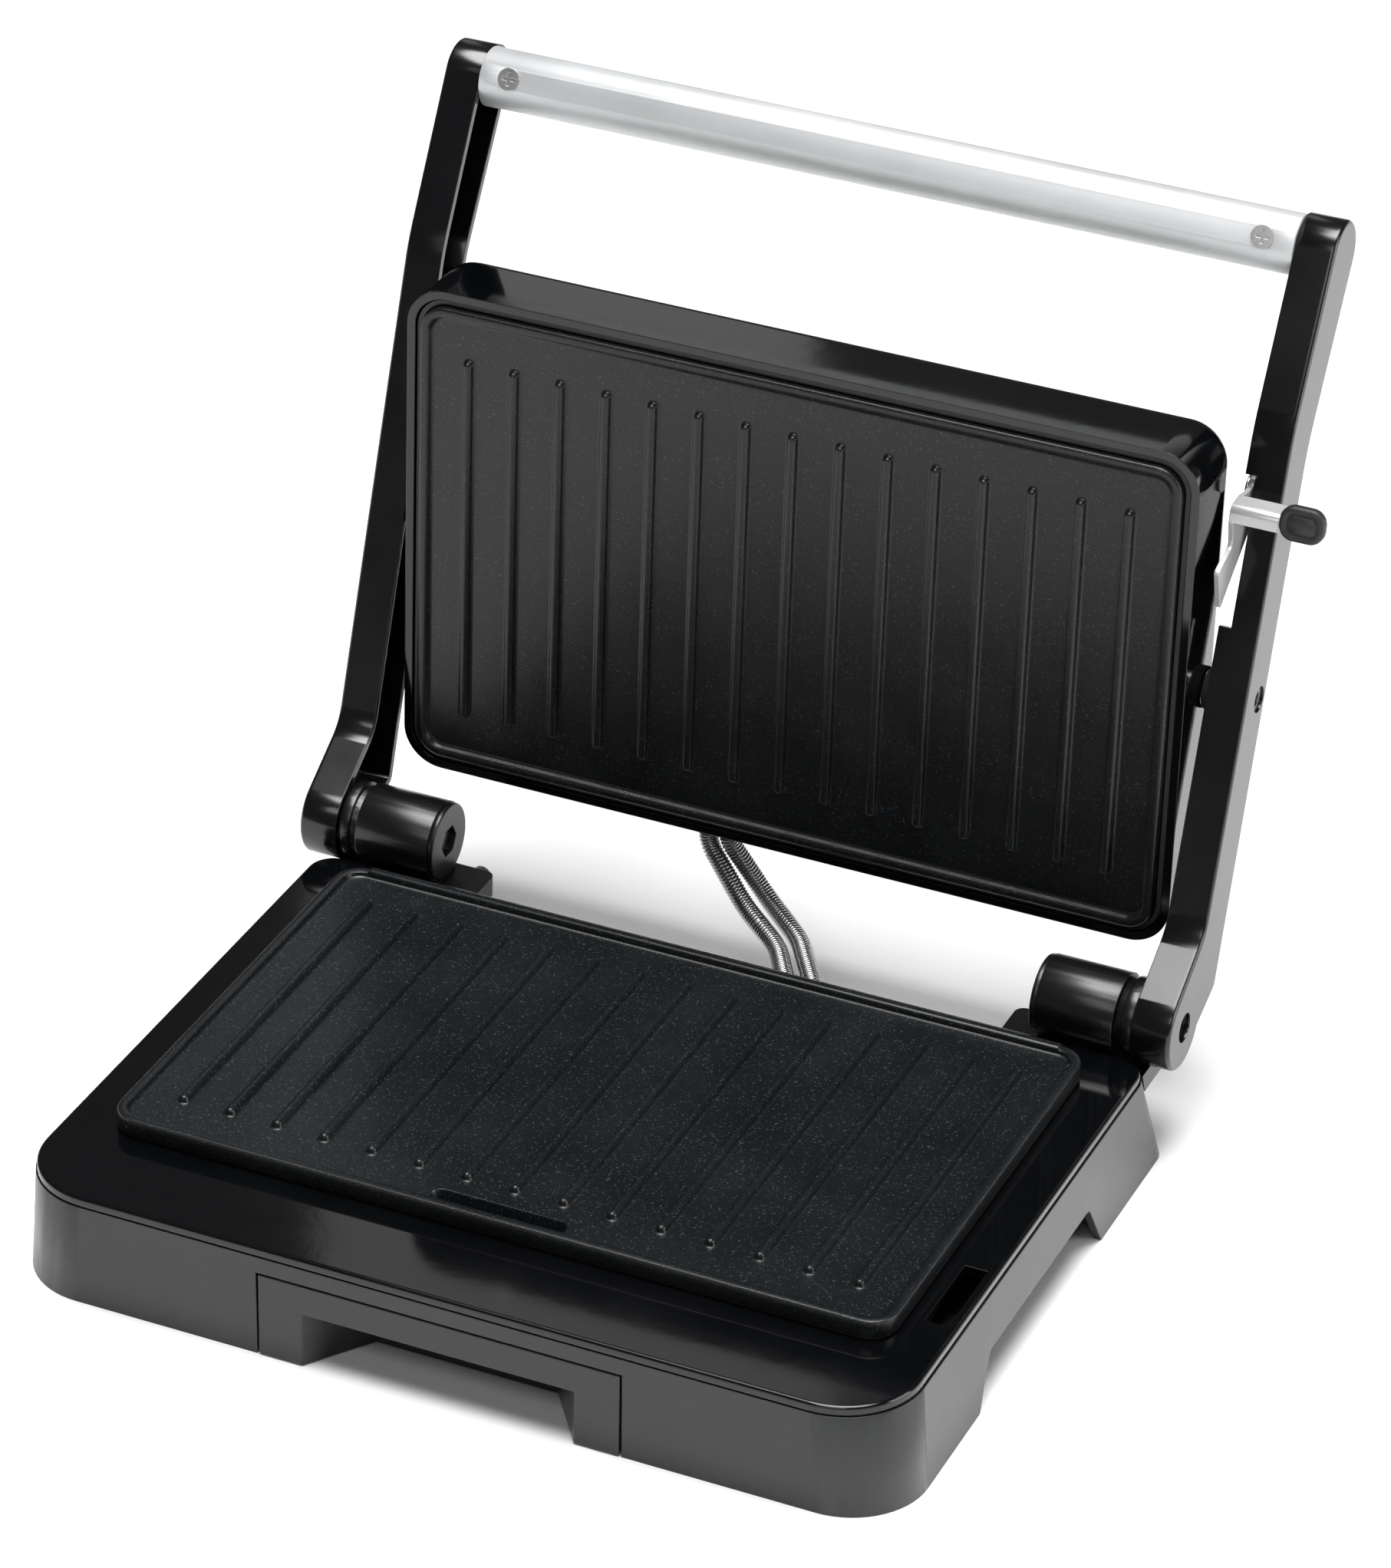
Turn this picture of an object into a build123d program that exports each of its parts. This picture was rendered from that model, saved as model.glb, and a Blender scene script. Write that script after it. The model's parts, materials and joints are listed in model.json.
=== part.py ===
"""Contact grill (panini press) with a floating lid on two swing arms.

Millimetres, +Z up, +X to the right of the cook, -Y towards the cook.  The origin lies on
the worktop directly beneath the middle of the arm hinge.  The lid is modelled open, with
the arms leaning back on their stop and the upper plate upright.

The lid's own frame (lid_frame) has its origin on the lid pivot, x to the right, y towards
the hinge side of the closed lid and z towards the lid's back.
"""

import os
from math import acos, atan2, cos, hypot, pi, radians, sin

from build123d import *

# ---------------------------------------------------------------- driving dimensions
# Grill plates
plate_length = 230.0
plate_depth = 145.0
plate_corner = 8.0
plate_flange = 4.3
plate_body_depth = 5.5
plate_body_inset = 4.0
rim_width = 3.0
rim_height = 1.5
back_rim_height = 2.3
rib_count = 15
rib_pitch = 14.3
rib_length = 114.5
rib_width = 3.0
rib_height = 1.9
rib_draft = 15.0
drain_length = 39.6
drain_width = 6.0

# Base
deck_half_width = 128.8
deck_front_y = -197.3
deck_back_y = -10.8
deck_top_z = 34.7
deck_thickness = 2.5
deck_corner_front = 22.5
deck_corner_back = 8.0
deck_edge_radius = 1.0
deck_window_gap = 0.5
parting_gap = 0.6
skirt_depth = 2.2
skirt_thickness = 1.5
housing_flare = 2.3
housing_front_lean = 0.4
housing_foot_y = 2.5
housing_wall = 2.5
plate_seat_gap = 0.3
leg_arch_height = 15.0
leg_arch_front = -138.6
leg_arch_back = -49.2
leg_arch_slant = 8.4
foot_radius = 8.0
foot_height = 3.0
foot_lock_height = 2.0
post_shoulder = 2.4
lid_post_shoulder = 6.0
cover_bottom_z = 15.0
cover_thickness = 2.0
ledge_width = 4.0

# Drip tray
tray_panel_half_width = 53.0
tray_panel_height = 26.0
tray_panel_thickness = 2.4
tray_gap = 0.6
tray_half_width = 49.0
tray_length = 78.0
tray_depth = 11.5
tray_wall = 1.6
tray_floor_z = 2.0
tray_corner = 6.0
tray_rim_width = 3.0
tray_panel_foot_z = 0.6
bay_depth = 23.0
bay_wall = 1.8
grip_half_width = 40.0
grip_height = 17.0
grip_depth = 18.0
grip_slant = 13.0

# Hinge
hinge_z = 42.0
barrel_inner_x = 94.5
barrel_outer_x = 117.5
barrel_radius = 11.7
cap_thickness = 1.8
collar_step = 2.2
collar_radius = 11.4
bolt_radius = 5.0
hex_radius = 4.8
pedestal_inner_x = 82.0
pedestal_outer_x = 126.8
pedestal_top_z = 28.8
pedestal_bottom_z = 22.4
pedestal_back_y = 9.5
barrel_end_wall = 3.0
barrel_wall = 2.2
cap_overlap = 0.3
cap_edge = 0.4
bolt_hex_radius = 2.6
collar_neck = 0.8
saddle_half_width = 7.5

# Arms
arm_inner_x = 123.4
arm_outer_x = 135.0
arm_wall = 2.0
arm_edge_radius = 1.2
boss_radius = 12.6
hub_radius = 8.5
hinge_hole_radius = 4.4
arm_knee = (12.5, 65.0)
arm_shoulder = (59.0, 200.0)
arm_tip_front = (89.3, 253.4)
arm_tip_back = (107.1, 243.3)
arm_back_shoulder = (74.0, 190.0)
arm_heel = (24.4, 41.8)
arm_heel_foot = (5.4, 33.7)
arm_tip_radius = 10.0
arm_bend_radius = 60.0
arm_knee_radius = 14.0
arm_heel_radius = 3.0

# Handle
handle_y = 90.8
handle_z = 241.5
handle_radius = 8.75
handle_wall = 1.5
plug_reach = 23.0
plug_spigot_radius = 4.8
handle_screw_x = 114.2
handle_screw_angle = 152.7
handle_screw_radius = 1.5
handle_screw_head = 3.3
handle_screw_rise = 0.2
handle_slot = (3.8, 0.9)
handle_slot_turned = (0.9, 3.8)
head_sink = 0.5
plug_bore = 5.0

# Lid
pivot_y = 45.44
pivot_z = 124.0
pivot_radius = 3.0
pivot_shank_radius = 3.85
lid_lean = 91.4
lid_half_width = 119.6
lid_margin_depth = 4.5
lid_corner = 12.0
lid_wall = 2.5
lid_floor_z = -18.6
lid_side_top = 2.4
lid_edge_radius = 6.0
lid_centre_y = -2.1
back_panel_inset = 16.0
back_panel_height = 2.6
back_panel_edge = 2.0
bezel_width = 1.5
bezel_recess = 0.8
bezel_ledge = 2.5
bezel_step = 1.6
spacer_radius = 6.0
bush_length = 11.0
bush_radius = 5.0
bush_boss_wall = 2.0
pivot_hex_radius = 2.4
pin_recess = 0.8
exit_x = -22.4
exit_z = -9.0

# Heating and wiring
element_radius = 3.5
element_half_length = 85.0
element_half_depth = 44.0
element_bend = 18.0
element_tail_x = 10.0
element_tail_y = 58.0
reflector_length = 206.0
reflector_depth = 115.0
reflector_thickness = 0.8
post_x = 95.0
post_y = 50.0
post_radius = 4.0
post_foot_radius = 5.6
screw_radius = 1.5
screw_head_radius = 3.0
screw_head_height = 2.0
screw_grip = 4.0
screw_tip_gap = 0.5
cross_slot = (3.4, 0.9)
cross_slot_turned = (0.9, 3.4)
thermostat_disc = (9.0, 2.0)
thermostat_body = (14.0, 10.0)
thermostat_corner = 1.5
thermostat_body_height = 3.0
thermostat_tag = (6.4, 4.0)
thermostat_tag_reach = 10.0
thermostat_tag_height = 2.5
thermostat_tag_thickness = 0.8
fuse_radius = 2.2
fuse_length = 14.0
conduit_radius = 2.9
conduit_pitch = 6.4
conduit_seat_depth = 0.9
conduit_bush_collar = 0.8
conduit_bush_lip = 2.0
conduit_bush_height = 1.6
fuse_spot = 20.0
conduit_bends = [9.0, 16.0, 18.0]

# Latch
latch_x = 124.3
latch_thickness = 1.4
latch_bridge_outer_x = 138.4
latch_tab_outer_x = 151.5
latch_tab_thickness = 3.6
latch_pin_radius = 2.0
latch_boss_radius = 3.6
latch_eye_radius = 4.0
latch_pivot = (4.2, -6.0)
latch_rivet_head = (1.4, 0.8)
tongue_width = 4.4
tongue_thickness = 1.2
tongue_reach = 8.0
tongue_centre = (9.8, 10.6)
tab_centre = (8.4, 10.6)
tab_width = 10.2
tab_corner = 1.2
tab_edge_radius = 1.1
tab_turn = -10.0
notch_origin = (54.7, 187.8)
notch_length = 43.0
notch_outer_x = 127.0
catch_slot_x = (119.5, 126.0)
catch_slot_y = (-150.8, -123.2)

# Clearances
running_gap = 0.05
seat_gap = 0.1
side_gap = 0.3

# ---------------------------------------------------------------- derived places
deck_under_z = deck_top_z - deck_thickness
housing_top_z = deck_under_z - parting_gap
plate_floor_z = deck_top_z + plate_seat_gap + plate_flange
plate_front_margin = 31.1
plate_y = deck_front_y + plate_front_margin + plate_depth / 2
plate_under_z = plate_floor_z - plate_flange - plate_body_depth
cover_top_z = cover_bottom_z + cover_thickness
mid_y = (leg_arch_front + leg_arch_back) / 2
panel_back_y = deck_front_y + tray_panel_thickness
bay_back_y = deck_front_y + bay_depth
tray_front_y = deck_front_y + grip_depth + 2 * tray_wall
hinge = (0.0, hinge_z)
lid_frame = Plane(
    origin=(0, pivot_y, pivot_z),
    x_dir=(1, 0, 0),
    z_dir=(0, sin(radians(lid_lean)), cos(radians(lid_lean))),
)
lid_top_z = lid_side_top + lid_edge_radius
lid_inner_top_z = lid_top_z - lid_wall
upper_under_z = lid_floor_z + plate_flange + plate_body_depth
base_plate_plane = Plane((0, plate_y, plate_floor_z))
lid_plate_plane = Plane(
    origin=lid_frame.from_local_coords(Vector(0, lid_centre_y, lid_floor_z)),
    x_dir=(1, 0, 0),
    z_dir=-lid_frame.z_dir,
)
arm_length = hypot(arm_shoulder[0] - arm_knee[0], arm_shoulder[1] - arm_knee[1])
arm_down = Vector(0, arm_knee[0] - arm_shoulder[0], arm_knee[1] - arm_shoulder[1]) / arm_length
latch_plate_x = latch_x + latch_thickness
latch_frame = Plane(
    origin=(latch_plate_x, *notch_origin),
    x_dir=arm_down,
    z_dir=(-1, 0, 0),
)

os.makedirs("parts", exist_ok=True)


# ---------------------------------------------------------------- helpers
def save(sub_part, label):
    """Label a finished piece and write its STEP file."""
    sub_part.part.label = label
    export_step(sub_part.part, f"parts/{label}.step")


def save_pair(right_piece, label):
    """Write a right-hand piece and its mirror image."""
    save(right_piece, f"{label}_right")
    with BuildPart() as left_piece:
        mirror(right_piece.part, about=Plane.YZ)
    save(left_piece, f"{label}_left")


def tangent_point(centre, radius, outside, turn):
    """Point where a line from `outside` touches a circle; turn is +1 or -1."""
    dy, dz = outside[0] - centre[0], outside[1] - centre[1]
    angle = atan2(dz, dy) + turn * acos(radius / hypot(dy, dz))
    return (centre[0] + radius * cos(angle), centre[1] + radius * sin(angle))


def footprint(half_width, front_y, back_y, front_corner, back_corner, z):
    """Plan outline with large front corners and small back corners."""
    with BuildSketch(Plane.XY.offset(z)) as outline:
        with Locations((0, (front_y + back_y) / 2)):
            Rectangle(2 * half_width, back_y - front_y)
        fillet(outline.vertices().group_by(Axis.Y)[0], front_corner)
        fillet(outline.vertices().group_by(Axis.Y)[-1], back_corner)
    return outline.sketch


def deck_outline(z, inset=0.0):
    """Outline of the top deck, drawn in by `inset`."""
    return footprint(
        deck_half_width - inset,
        deck_front_y + inset,
        deck_back_y - inset,
        max(deck_corner_front - inset, 1.0),
        max(deck_corner_back - inset, 1.0),
        z,
    )


def housing_back(z):
    """Outer face of the sloping back wall at height z."""
    return housing_foot_y + (deck_back_y + 0.4 - housing_foot_y) * z / housing_top_z


def housing_section(z, inset=0.0):
    """Housing outline at height z; the walls flare slightly towards the worktop."""
    share = z / housing_top_z
    half_width = deck_half_width + 0.4 + housing_flare * (1 - share)
    front_y = deck_front_y + housing_front_lean * (1 - share)
    return footprint(
        half_width - inset,
        front_y + inset,
        housing_back(z) - inset,
        max(deck_corner_front - inset, 1.0),
        max(deck_corner_back - inset, 1.0),
        z,
    )


def limits_box(x_range, y_range, z_range, mode):
    """Axis-aligned block between the given limits, for use inside a part."""
    centre = [(a + b) / 2 for a, b in (x_range, y_range, z_range)]
    size = [abs(b - a) for a, b in (x_range, y_range, z_range)]
    with Locations(Location(tuple(centre))):
        Box(*size, mode=mode)


def grill_plate(face_plane, drain):
    """Cast ribbed plate: flange, body, rim, ribs and blind screw bores in the back."""
    body = (plate_length - 2 * plate_body_inset, plate_depth - 2 * plate_body_inset)
    with BuildPart() as plate:
        with BuildSketch(face_plane):
            RectangleRounded(plate_length, plate_depth, plate_corner)
        extrude(amount=-plate_flange)
        with BuildSketch(face_plane.offset(-plate_flange)):
            RectangleRounded(*body, plate_corner - plate_body_inset / 2)
        extrude(amount=-plate_body_depth)
        with BuildSketch(face_plane):
            RectangleRounded(plate_length, plate_depth, plate_corner)
            RectangleRounded(
                plate_length - 2 * rim_width,
                plate_depth - 2 * rim_width,
                plate_corner - rim_width,
                mode=Mode.SUBTRACT,
            )
        extrude(amount=rim_height)
        if drain:
            with BuildSketch(face_plane):
                with Locations((0, (plate_depth - rim_width) / 2)):
                    Rectangle(plate_length - 2 * plate_corner, rim_width)
            extrude(amount=back_rim_height)
        with BuildSketch(face_plane):
            with GridLocations(rib_pitch, 0, rib_count, 1):
                SlotOverall(rib_length, rib_width, rotation=90)
        extrude(amount=rib_height, taper=rib_draft)
        if drain:
            with BuildSketch(face_plane):
                with Locations((0, -plate_depth / 2 + rim_width + drain_width / 2)):
                    SlotOverall(drain_length, drain_width)
            extrude(amount=-plate_flange - plate_body_depth, mode=Mode.SUBTRACT)
        with BuildSketch(face_plane.offset(-plate_flange - plate_body_depth)):
            with GridLocations(2 * post_x, 2 * post_y, 2, 2):
                Circle(screw_radius + running_gap)
        extrude(amount=screw_grip, mode=Mode.SUBTRACT)
    return plate


def heating_element(axis_plane):
    """Tubular element bent to follow the plate, with two tails towards the hinge."""
    points = [
        (element_tail_x, element_tail_y),
        (element_tail_x, element_half_depth),
        (element_half_length, element_half_depth),
        (element_half_length, -element_half_depth),
        (-element_half_length, -element_half_depth),
        (-element_half_length, element_half_depth),
        (-element_tail_x, element_half_depth),
        (-element_tail_x, element_tail_y),
    ]
    tail_bend = 2 * element_radius + 1
    bends = [tail_bend] + [element_bend] * 4 + [tail_bend]
    with BuildPart() as element:
        with BuildLine(axis_plane) as route:
            FilletPolyline(*points, radius=bends)
        with BuildSketch(Plane(route.wire() @ 0, z_dir=route.wire() % 0)):
            Circle(element_radius)
        sweep()
    return element


def reflector(sheet_plane):
    """Thin heat shield with clearance holes for the plate posts."""
    with BuildPart() as sheet:
        with BuildSketch(sheet_plane):
            RectangleRounded(reflector_length, reflector_depth, plate_corner)
            with GridLocations(2 * post_x, 2 * post_y, 2, 2):
                Circle(post_radius + seat_gap, mode=Mode.SUBTRACT)
        extrude(amount=reflector_thickness)
    return sheet


def thermostat(seat_plane, x):
    """Snap-action thermostat: disc against the plate, a square body and two tags."""
    with BuildPart() as switch:
        with BuildSketch(seat_plane):
            with Locations((x, 0)):
                Circle(thermostat_disc[0])
        extrude(amount=thermostat_disc[1])
        with BuildSketch(seat_plane.offset(thermostat_disc[1])):
            with Locations((x, 0)):
                RectangleRounded(*thermostat_body, thermostat_corner)
        extrude(amount=thermostat_body_height)
        with BuildSketch(seat_plane.offset(thermostat_tag_height)):
            with Locations((x - thermostat_tag_reach, 0), (x + thermostat_tag_reach, 0)):
                Rectangle(*thermostat_tag)
        extrude(amount=thermostat_tag_thickness)
    return switch


def plate_screws(head_plane, reach):
    """Four screws, heads on head_plane, shanks running `reach` along its normal."""
    with BuildPart() as screws:
        with BuildSketch(head_plane):
            with GridLocations(2 * post_x, 2 * post_y, 2, 2):
                Circle(screw_head_radius)
        extrude(amount=-screw_head_height)
        with BuildSketch(head_plane):
            with GridLocations(2 * post_x, 2 * post_y, 2, 2):
                Circle(screw_radius)
        extrude(amount=reach)
        with BuildSketch(head_plane.offset(-screw_head_height)):
            with GridLocations(2 * post_x, 2 * post_y, 2, 2):
                Rectangle(*cross_slot)
                Rectangle(*cross_slot_turned)
        extrude(amount=screw_head_height / 2, mode=Mode.SUBTRACT)
    return screws


# ---------------------------------------------------------------- lower plate
lower_grill_plate = grill_plate(base_plate_plane, drain=True)
save(lower_grill_plate, "lower_grill_plate")

# ---------------------------------------------------------------- base housing
foot_spots = [
    (sx * (deck_half_width - deck_corner_front + 4), y)
    for sx in (-1, 1)
    for y in (deck_front_y + deck_corner_front - 5, housing_foot_y - deck_corner_front)
]
web_start_x = deck_half_width - deck_corner_front - 10
web_thickness = 2.0
web_arch_margin = 12.0
ledge_thickness = 1.5
bracket_plate_corner = 3.0
cover_screws = [
    (sx * x, y)
    for sx in (-1, 1)
    for x, y in ((100.0, deck_front_y + 17), (70.0, deck_back_y - 8.7))
]
bracket_screw_xs = (87.5, 105.0)
bracket_screw_z = 25.6
bracket_screw_radius = 1.8

with BuildPart() as base_housing:
    loft([housing_section(0), housing_section(housing_top_z)])
    loft(
        [housing_section(-1, housing_wall), housing_section(housing_top_z + 1, housing_wall)],
        mode=Mode.SUBTRACT,
    )
    # ledge that the bottom cover is clamped against
    with BuildSketch(Plane.XY.offset(cover_top_z)) as ledge:
        add(housing_section(cover_top_z, housing_wall * 0.6))
        add(housing_section(cover_top_z, housing_wall + ledge_width), mode=Mode.SUBTRACT)
    extrude(amount=ledge_thickness)
    # webs across the corners that carry the rubber feet
    with BuildSketch(Plane.XY.offset(foot_height)) as foot_webs:
        add(housing_section(foot_height, housing_wall / 2))
        Rectangle(2 * web_start_x, 1000, mode=Mode.SUBTRACT)
        with Locations((0, mid_y)):
            Rectangle(1000, leg_arch_back - leg_arch_front + 2 * web_arch_margin, mode=Mode.SUBTRACT)
        with Locations(*foot_spots):
            Circle(foot_radius / 2 + running_gap, mode=Mode.SUBTRACT)
    extrude(amount=web_thickness)
    # bay for the drip tray's front
    bay_x = tray_panel_half_width + tray_gap
    bay_top = tray_panel_height + tray_gap
    limits_box(
        (-bay_x - bay_wall, bay_x + bay_wall),
        (deck_front_y + housing_wall / 2, bay_back_y + bay_wall),
        (0, bay_top + bay_wall),
        Mode.ADD,
    )
    limits_box((-bay_x, bay_x), (deck_front_y - 5, bay_back_y), (-1, bay_top), Mode.SUBTRACT)
    limits_box(
        (-bay_x, bay_x),
        (deck_front_y - 5, bay_back_y + 2 * bay_wall),
        (-1, cover_bottom_z),
        Mode.SUBTRACT,
    )
    # arches between the legs
    with BuildSketch(Plane.YZ):
        with BuildLine():
            FilletPolyline(
                (leg_arch_front, -1),
                (leg_arch_front, 0),
                (leg_arch_front + leg_arch_slant, leg_arch_height),
                (leg_arch_back - leg_arch_slant, leg_arch_height),
                (leg_arch_back, 0),
                (leg_arch_back, -1),
                radius=[0.4, 3, 3, 0.4],
            )
            Line((leg_arch_back, -1), (leg_arch_front, -1))
        make_face()
    extrude(amount=200, both=True, mode=Mode.SUBTRACT)
    # holes for the bracket screws in the back wall
    with BuildSketch(Plane.XZ.offset(-20)):
        for side in (-1, 1):
            with Locations(*[(side * x, bracket_screw_z) for x in bracket_screw_xs]):
                Circle(bracket_screw_radius + running_gap)
    extrude(amount=40, mode=Mode.SUBTRACT)
    # the deck bosses pass the ledge
    with BuildSketch(Plane.XY.offset(cover_top_z - 1)):
        with Locations(*cover_screws):
            Circle(post_radius + side_gap)
    extrude(amount=4, mode=Mode.SUBTRACT)
save(base_housing, "base_housing")

# ---------------------------------------------------------------- deck
with BuildPart() as base_deck:
    add(extrude(deck_outline(deck_under_z), amount=deck_thickness, mode=Mode.PRIVATE))
    fillet(base_deck.edges().group_by(Axis.Z)[-1], deck_edge_radius)
    with BuildSketch(Plane.XY.offset(deck_under_z)):
        add(housing_section(housing_top_z, housing_wall + side_gap))
        add(
            housing_section(housing_top_z, housing_wall + side_gap + skirt_thickness),
            mode=Mode.SUBTRACT,
        )
    extrude(amount=-skirt_depth - parting_gap)
    with BuildSketch(Plane.XY.offset(deck_under_z)):
        with Locations(*cover_screws):
            Circle(post_radius)
    extrude(amount=cover_top_z - deck_under_z)
    with BuildSketch(Plane.XY.offset(deck_top_z)):
        with Locations((0, plate_y)):
            RectangleRounded(
                plate_length - 2 * (plate_body_inset - deck_window_gap),
                plate_depth - 2 * (plate_body_inset - deck_window_gap),
                plate_corner - plate_body_inset / 2,
            )
    extrude(amount=-deck_thickness, mode=Mode.SUBTRACT)
    limits_box(catch_slot_x, catch_slot_y, (deck_under_z - 6, deck_top_z + 1), Mode.SUBTRACT)
    with BuildSketch(Plane.XY.offset(cover_top_z)):
        with Locations(*cover_screws):
            Circle(screw_radius + running_gap)
    extrude(amount=deck_under_z - cover_top_z, mode=Mode.SUBTRACT)
save(base_deck, "base_deck")

# ---------------------------------------------------------------- bottom cover
chute_y = plate_y - plate_depth / 2 + rim_width + drain_width / 2 + 1
chute_inside = (drain_length + 5.0, drain_width + 3.4)
chute_outside = (drain_length + 9.0, drain_width + 7.0)
rail_lip_gap = 0.8
rail_web_gap = 4.0
rail_thickness = 1.6
rail_lip_drop = 0.4
rail_spare_length = 6.0
with BuildPart() as bottom_cover:
    add(
        extrude(
            housing_section(cover_top_z, housing_wall + side_gap),
            amount=-cover_thickness,
            mode=Mode.PRIVATE,
        )
    )
    limits_box(
        (-bay_x - bay_wall - side_gap, bay_x + bay_wall + side_gap),
        (deck_front_y - 5, bay_back_y + bay_wall + side_gap),
        (0, cover_top_z + 1),
        Mode.SUBTRACT,
    )
    # posts under the grill plate, with a shoulder for the reflector
    with BuildSketch(Plane.XY.offset(cover_top_z)):
        with Locations((0, plate_y)):
            with GridLocations(2 * post_x, 2 * post_y, 2, 2):
                Circle(post_foot_radius)
    extrude(amount=post_shoulder)
    with BuildSketch(Plane.XY.offset(cover_top_z)):
        with Locations((0, plate_y)):
            with GridLocations(2 * post_x, 2 * post_y, 2, 2):
                Circle(post_radius)
    extrude(amount=plate_under_z - seat_gap - cover_top_z)
    # grease chute under the drain slot
    with BuildSketch(Plane.XY.offset(cover_bottom_z)):
        with Locations((0, chute_y)):
            Rectangle(*chute_outside)
    extrude(amount=plate_under_z - 1 - cover_bottom_z)
    with BuildSketch(Plane.XY.offset(cover_bottom_z)):
        with Locations((0, chute_y)):
            Rectangle(*chute_inside)
    extrude(amount=20, mode=Mode.SUBTRACT)
    # rails that the drip tray hangs on
    rail_y = (bay_back_y + bay_wall + side_gap, tray_front_y + tray_length + rail_spare_length)
    flange_top_z = tray_floor_z + tray_depth
    for side in (-1, 1):
        lip_x = side * (tray_half_width + rail_lip_gap)
        web_x = side * (tray_half_width + rail_web_gap)
        out_x = side * (tray_half_width + rail_web_gap + rail_thickness)
        lip_z = flange_top_z - tray_wall - rail_lip_drop
        lip_under_z = lip_z - rail_thickness
        limits_box((web_x, out_x), rail_y, (lip_under_z, cover_bottom_z), Mode.ADD)
        limits_box((lip_x, out_x), rail_y, (lip_under_z, lip_z), Mode.ADD)
    with BuildSketch(Plane.XY.offset(cover_bottom_z)):
        with Locations(*cover_screws):
            Circle(screw_radius + side_gap)
        with Locations((0, plate_y)):
            with GridLocations(2 * post_x, 2 * post_y, 2, 2):
                Circle(screw_radius + running_gap)
    extrude(amount=20, mode=Mode.SUBTRACT)
save(bottom_cover, "bottom_cover")

# ---------------------------------------------------------------- base interior
element_drop = seat_gap + element_radius
lower_element_z = plate_under_z - element_drop
lower_heating_element = heating_element(Plane((0, plate_y, lower_element_z)))
save(lower_heating_element, "lower_heating_element")

lower_heat_reflector = reflector(Plane((0, plate_y, cover_top_z + post_shoulder + seat_gap)))
save(lower_heat_reflector, "lower_heat_reflector")

down_seat = Plane((0, plate_y, plate_under_z - seat_gap), x_dir=(1, 0, 0), z_dir=(0, 0, -1))
lower_thermostat = thermostat(down_seat, -40)
save(lower_thermostat, "lower_thermostat")

lower_plate_screws = plate_screws(
    Plane((0, plate_y, cover_bottom_z)), plate_under_z + screw_grip - screw_tip_gap - cover_bottom_z
)
save(lower_plate_screws, "lower_plate_screws")

with BuildPart() as cover_fixings:
    with BuildSketch(Plane.XY.offset(cover_bottom_z)):
        with Locations(*cover_screws):
            Circle(screw_head_radius)
    extrude(amount=-screw_head_height)
    with BuildSketch(Plane.XY.offset(cover_bottom_z)):
        with Locations(*cover_screws):
            Circle(screw_radius)
    extrude(amount=cover_thickness + 10)
    with BuildSketch(Plane.XY.offset(cover_bottom_z - screw_head_height)):
        with Locations(*cover_screws):
            Rectangle(*cross_slot)
            Rectangle(*cross_slot_turned)
    extrude(amount=screw_head_height / 2, mode=Mode.SUBTRACT)
save(cover_fixings, "cover_screws")

with BuildPart() as rubber_feet:
    with BuildSketch(Plane.XY):
        with Locations(*foot_spots):
            Circle(foot_radius)
    extrude(amount=foot_height)
    with BuildSketch(Plane.XY.offset(foot_height)):
        with Locations(*foot_spots):
            Circle(foot_radius / 2)
    extrude(amount=web_thickness + running_gap)
    with BuildSketch(Plane.XY.offset(foot_height + web_thickness + running_gap)):
        with Locations(*foot_spots):
            Circle(foot_radius / 2 + 1)
    extrude(amount=foot_lock_height)
save(rubber_feet, "rubber_feet")

block_x = 44.0
block_y = deck_back_y - 8.0
block_size = (34.0, 9.0)
block_height = 9.0
block_bore = (2.4, 4.0)
block_pitch = 10.5
with BuildPart() as terminal_block:
    with BuildSketch(Plane.XY.offset(cover_top_z)):
        with Locations((block_x, block_y)):
            RectangleRounded(*block_size, 1)
    extrude(amount=block_height)
    with BuildSketch(Plane.XY.offset(cover_top_z + block_height)):
        with Locations((block_x, block_y)):
            with GridLocations(block_pitch, 0, 3, 1):
                Circle(block_bore[0])
    extrude(amount=-block_bore[1], mode=Mode.SUBTRACT)
save(terminal_block, "terminal_block")

# ---------------------------------------------------------------- drip tray
with BuildPart() as drip_tray_pan:
    pan_y = (tray_front_y, tray_front_y + tray_length)
    limits_box((-tray_half_width, tray_half_width), pan_y, (tray_floor_z, flange_top_z), Mode.ADD)
    fillet(drip_tray_pan.edges().filter_by(Axis.Z), tray_corner)
    with BuildSketch(Plane.XY.offset(flange_top_z - tray_wall)):
        with Locations((0, (pan_y[0] + pan_y[1]) / 2)):
            Rectangle(2 * (tray_half_width + tray_rim_width), tray_length)
    extrude(amount=tray_wall)
    with BuildSketch(Plane.XY.offset(tray_floor_z + tray_wall)):
        with Locations((0, (pan_y[0] + pan_y[1]) / 2)):
            RectangleRounded(
                2 * (tray_half_width - tray_wall),
                tray_length - 2 * tray_wall,
                tray_corner - tray_wall,
            )
    extrude(amount=tray_depth, mode=Mode.SUBTRACT)
save(drip_tray_pan, "drip_tray_pan")

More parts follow.
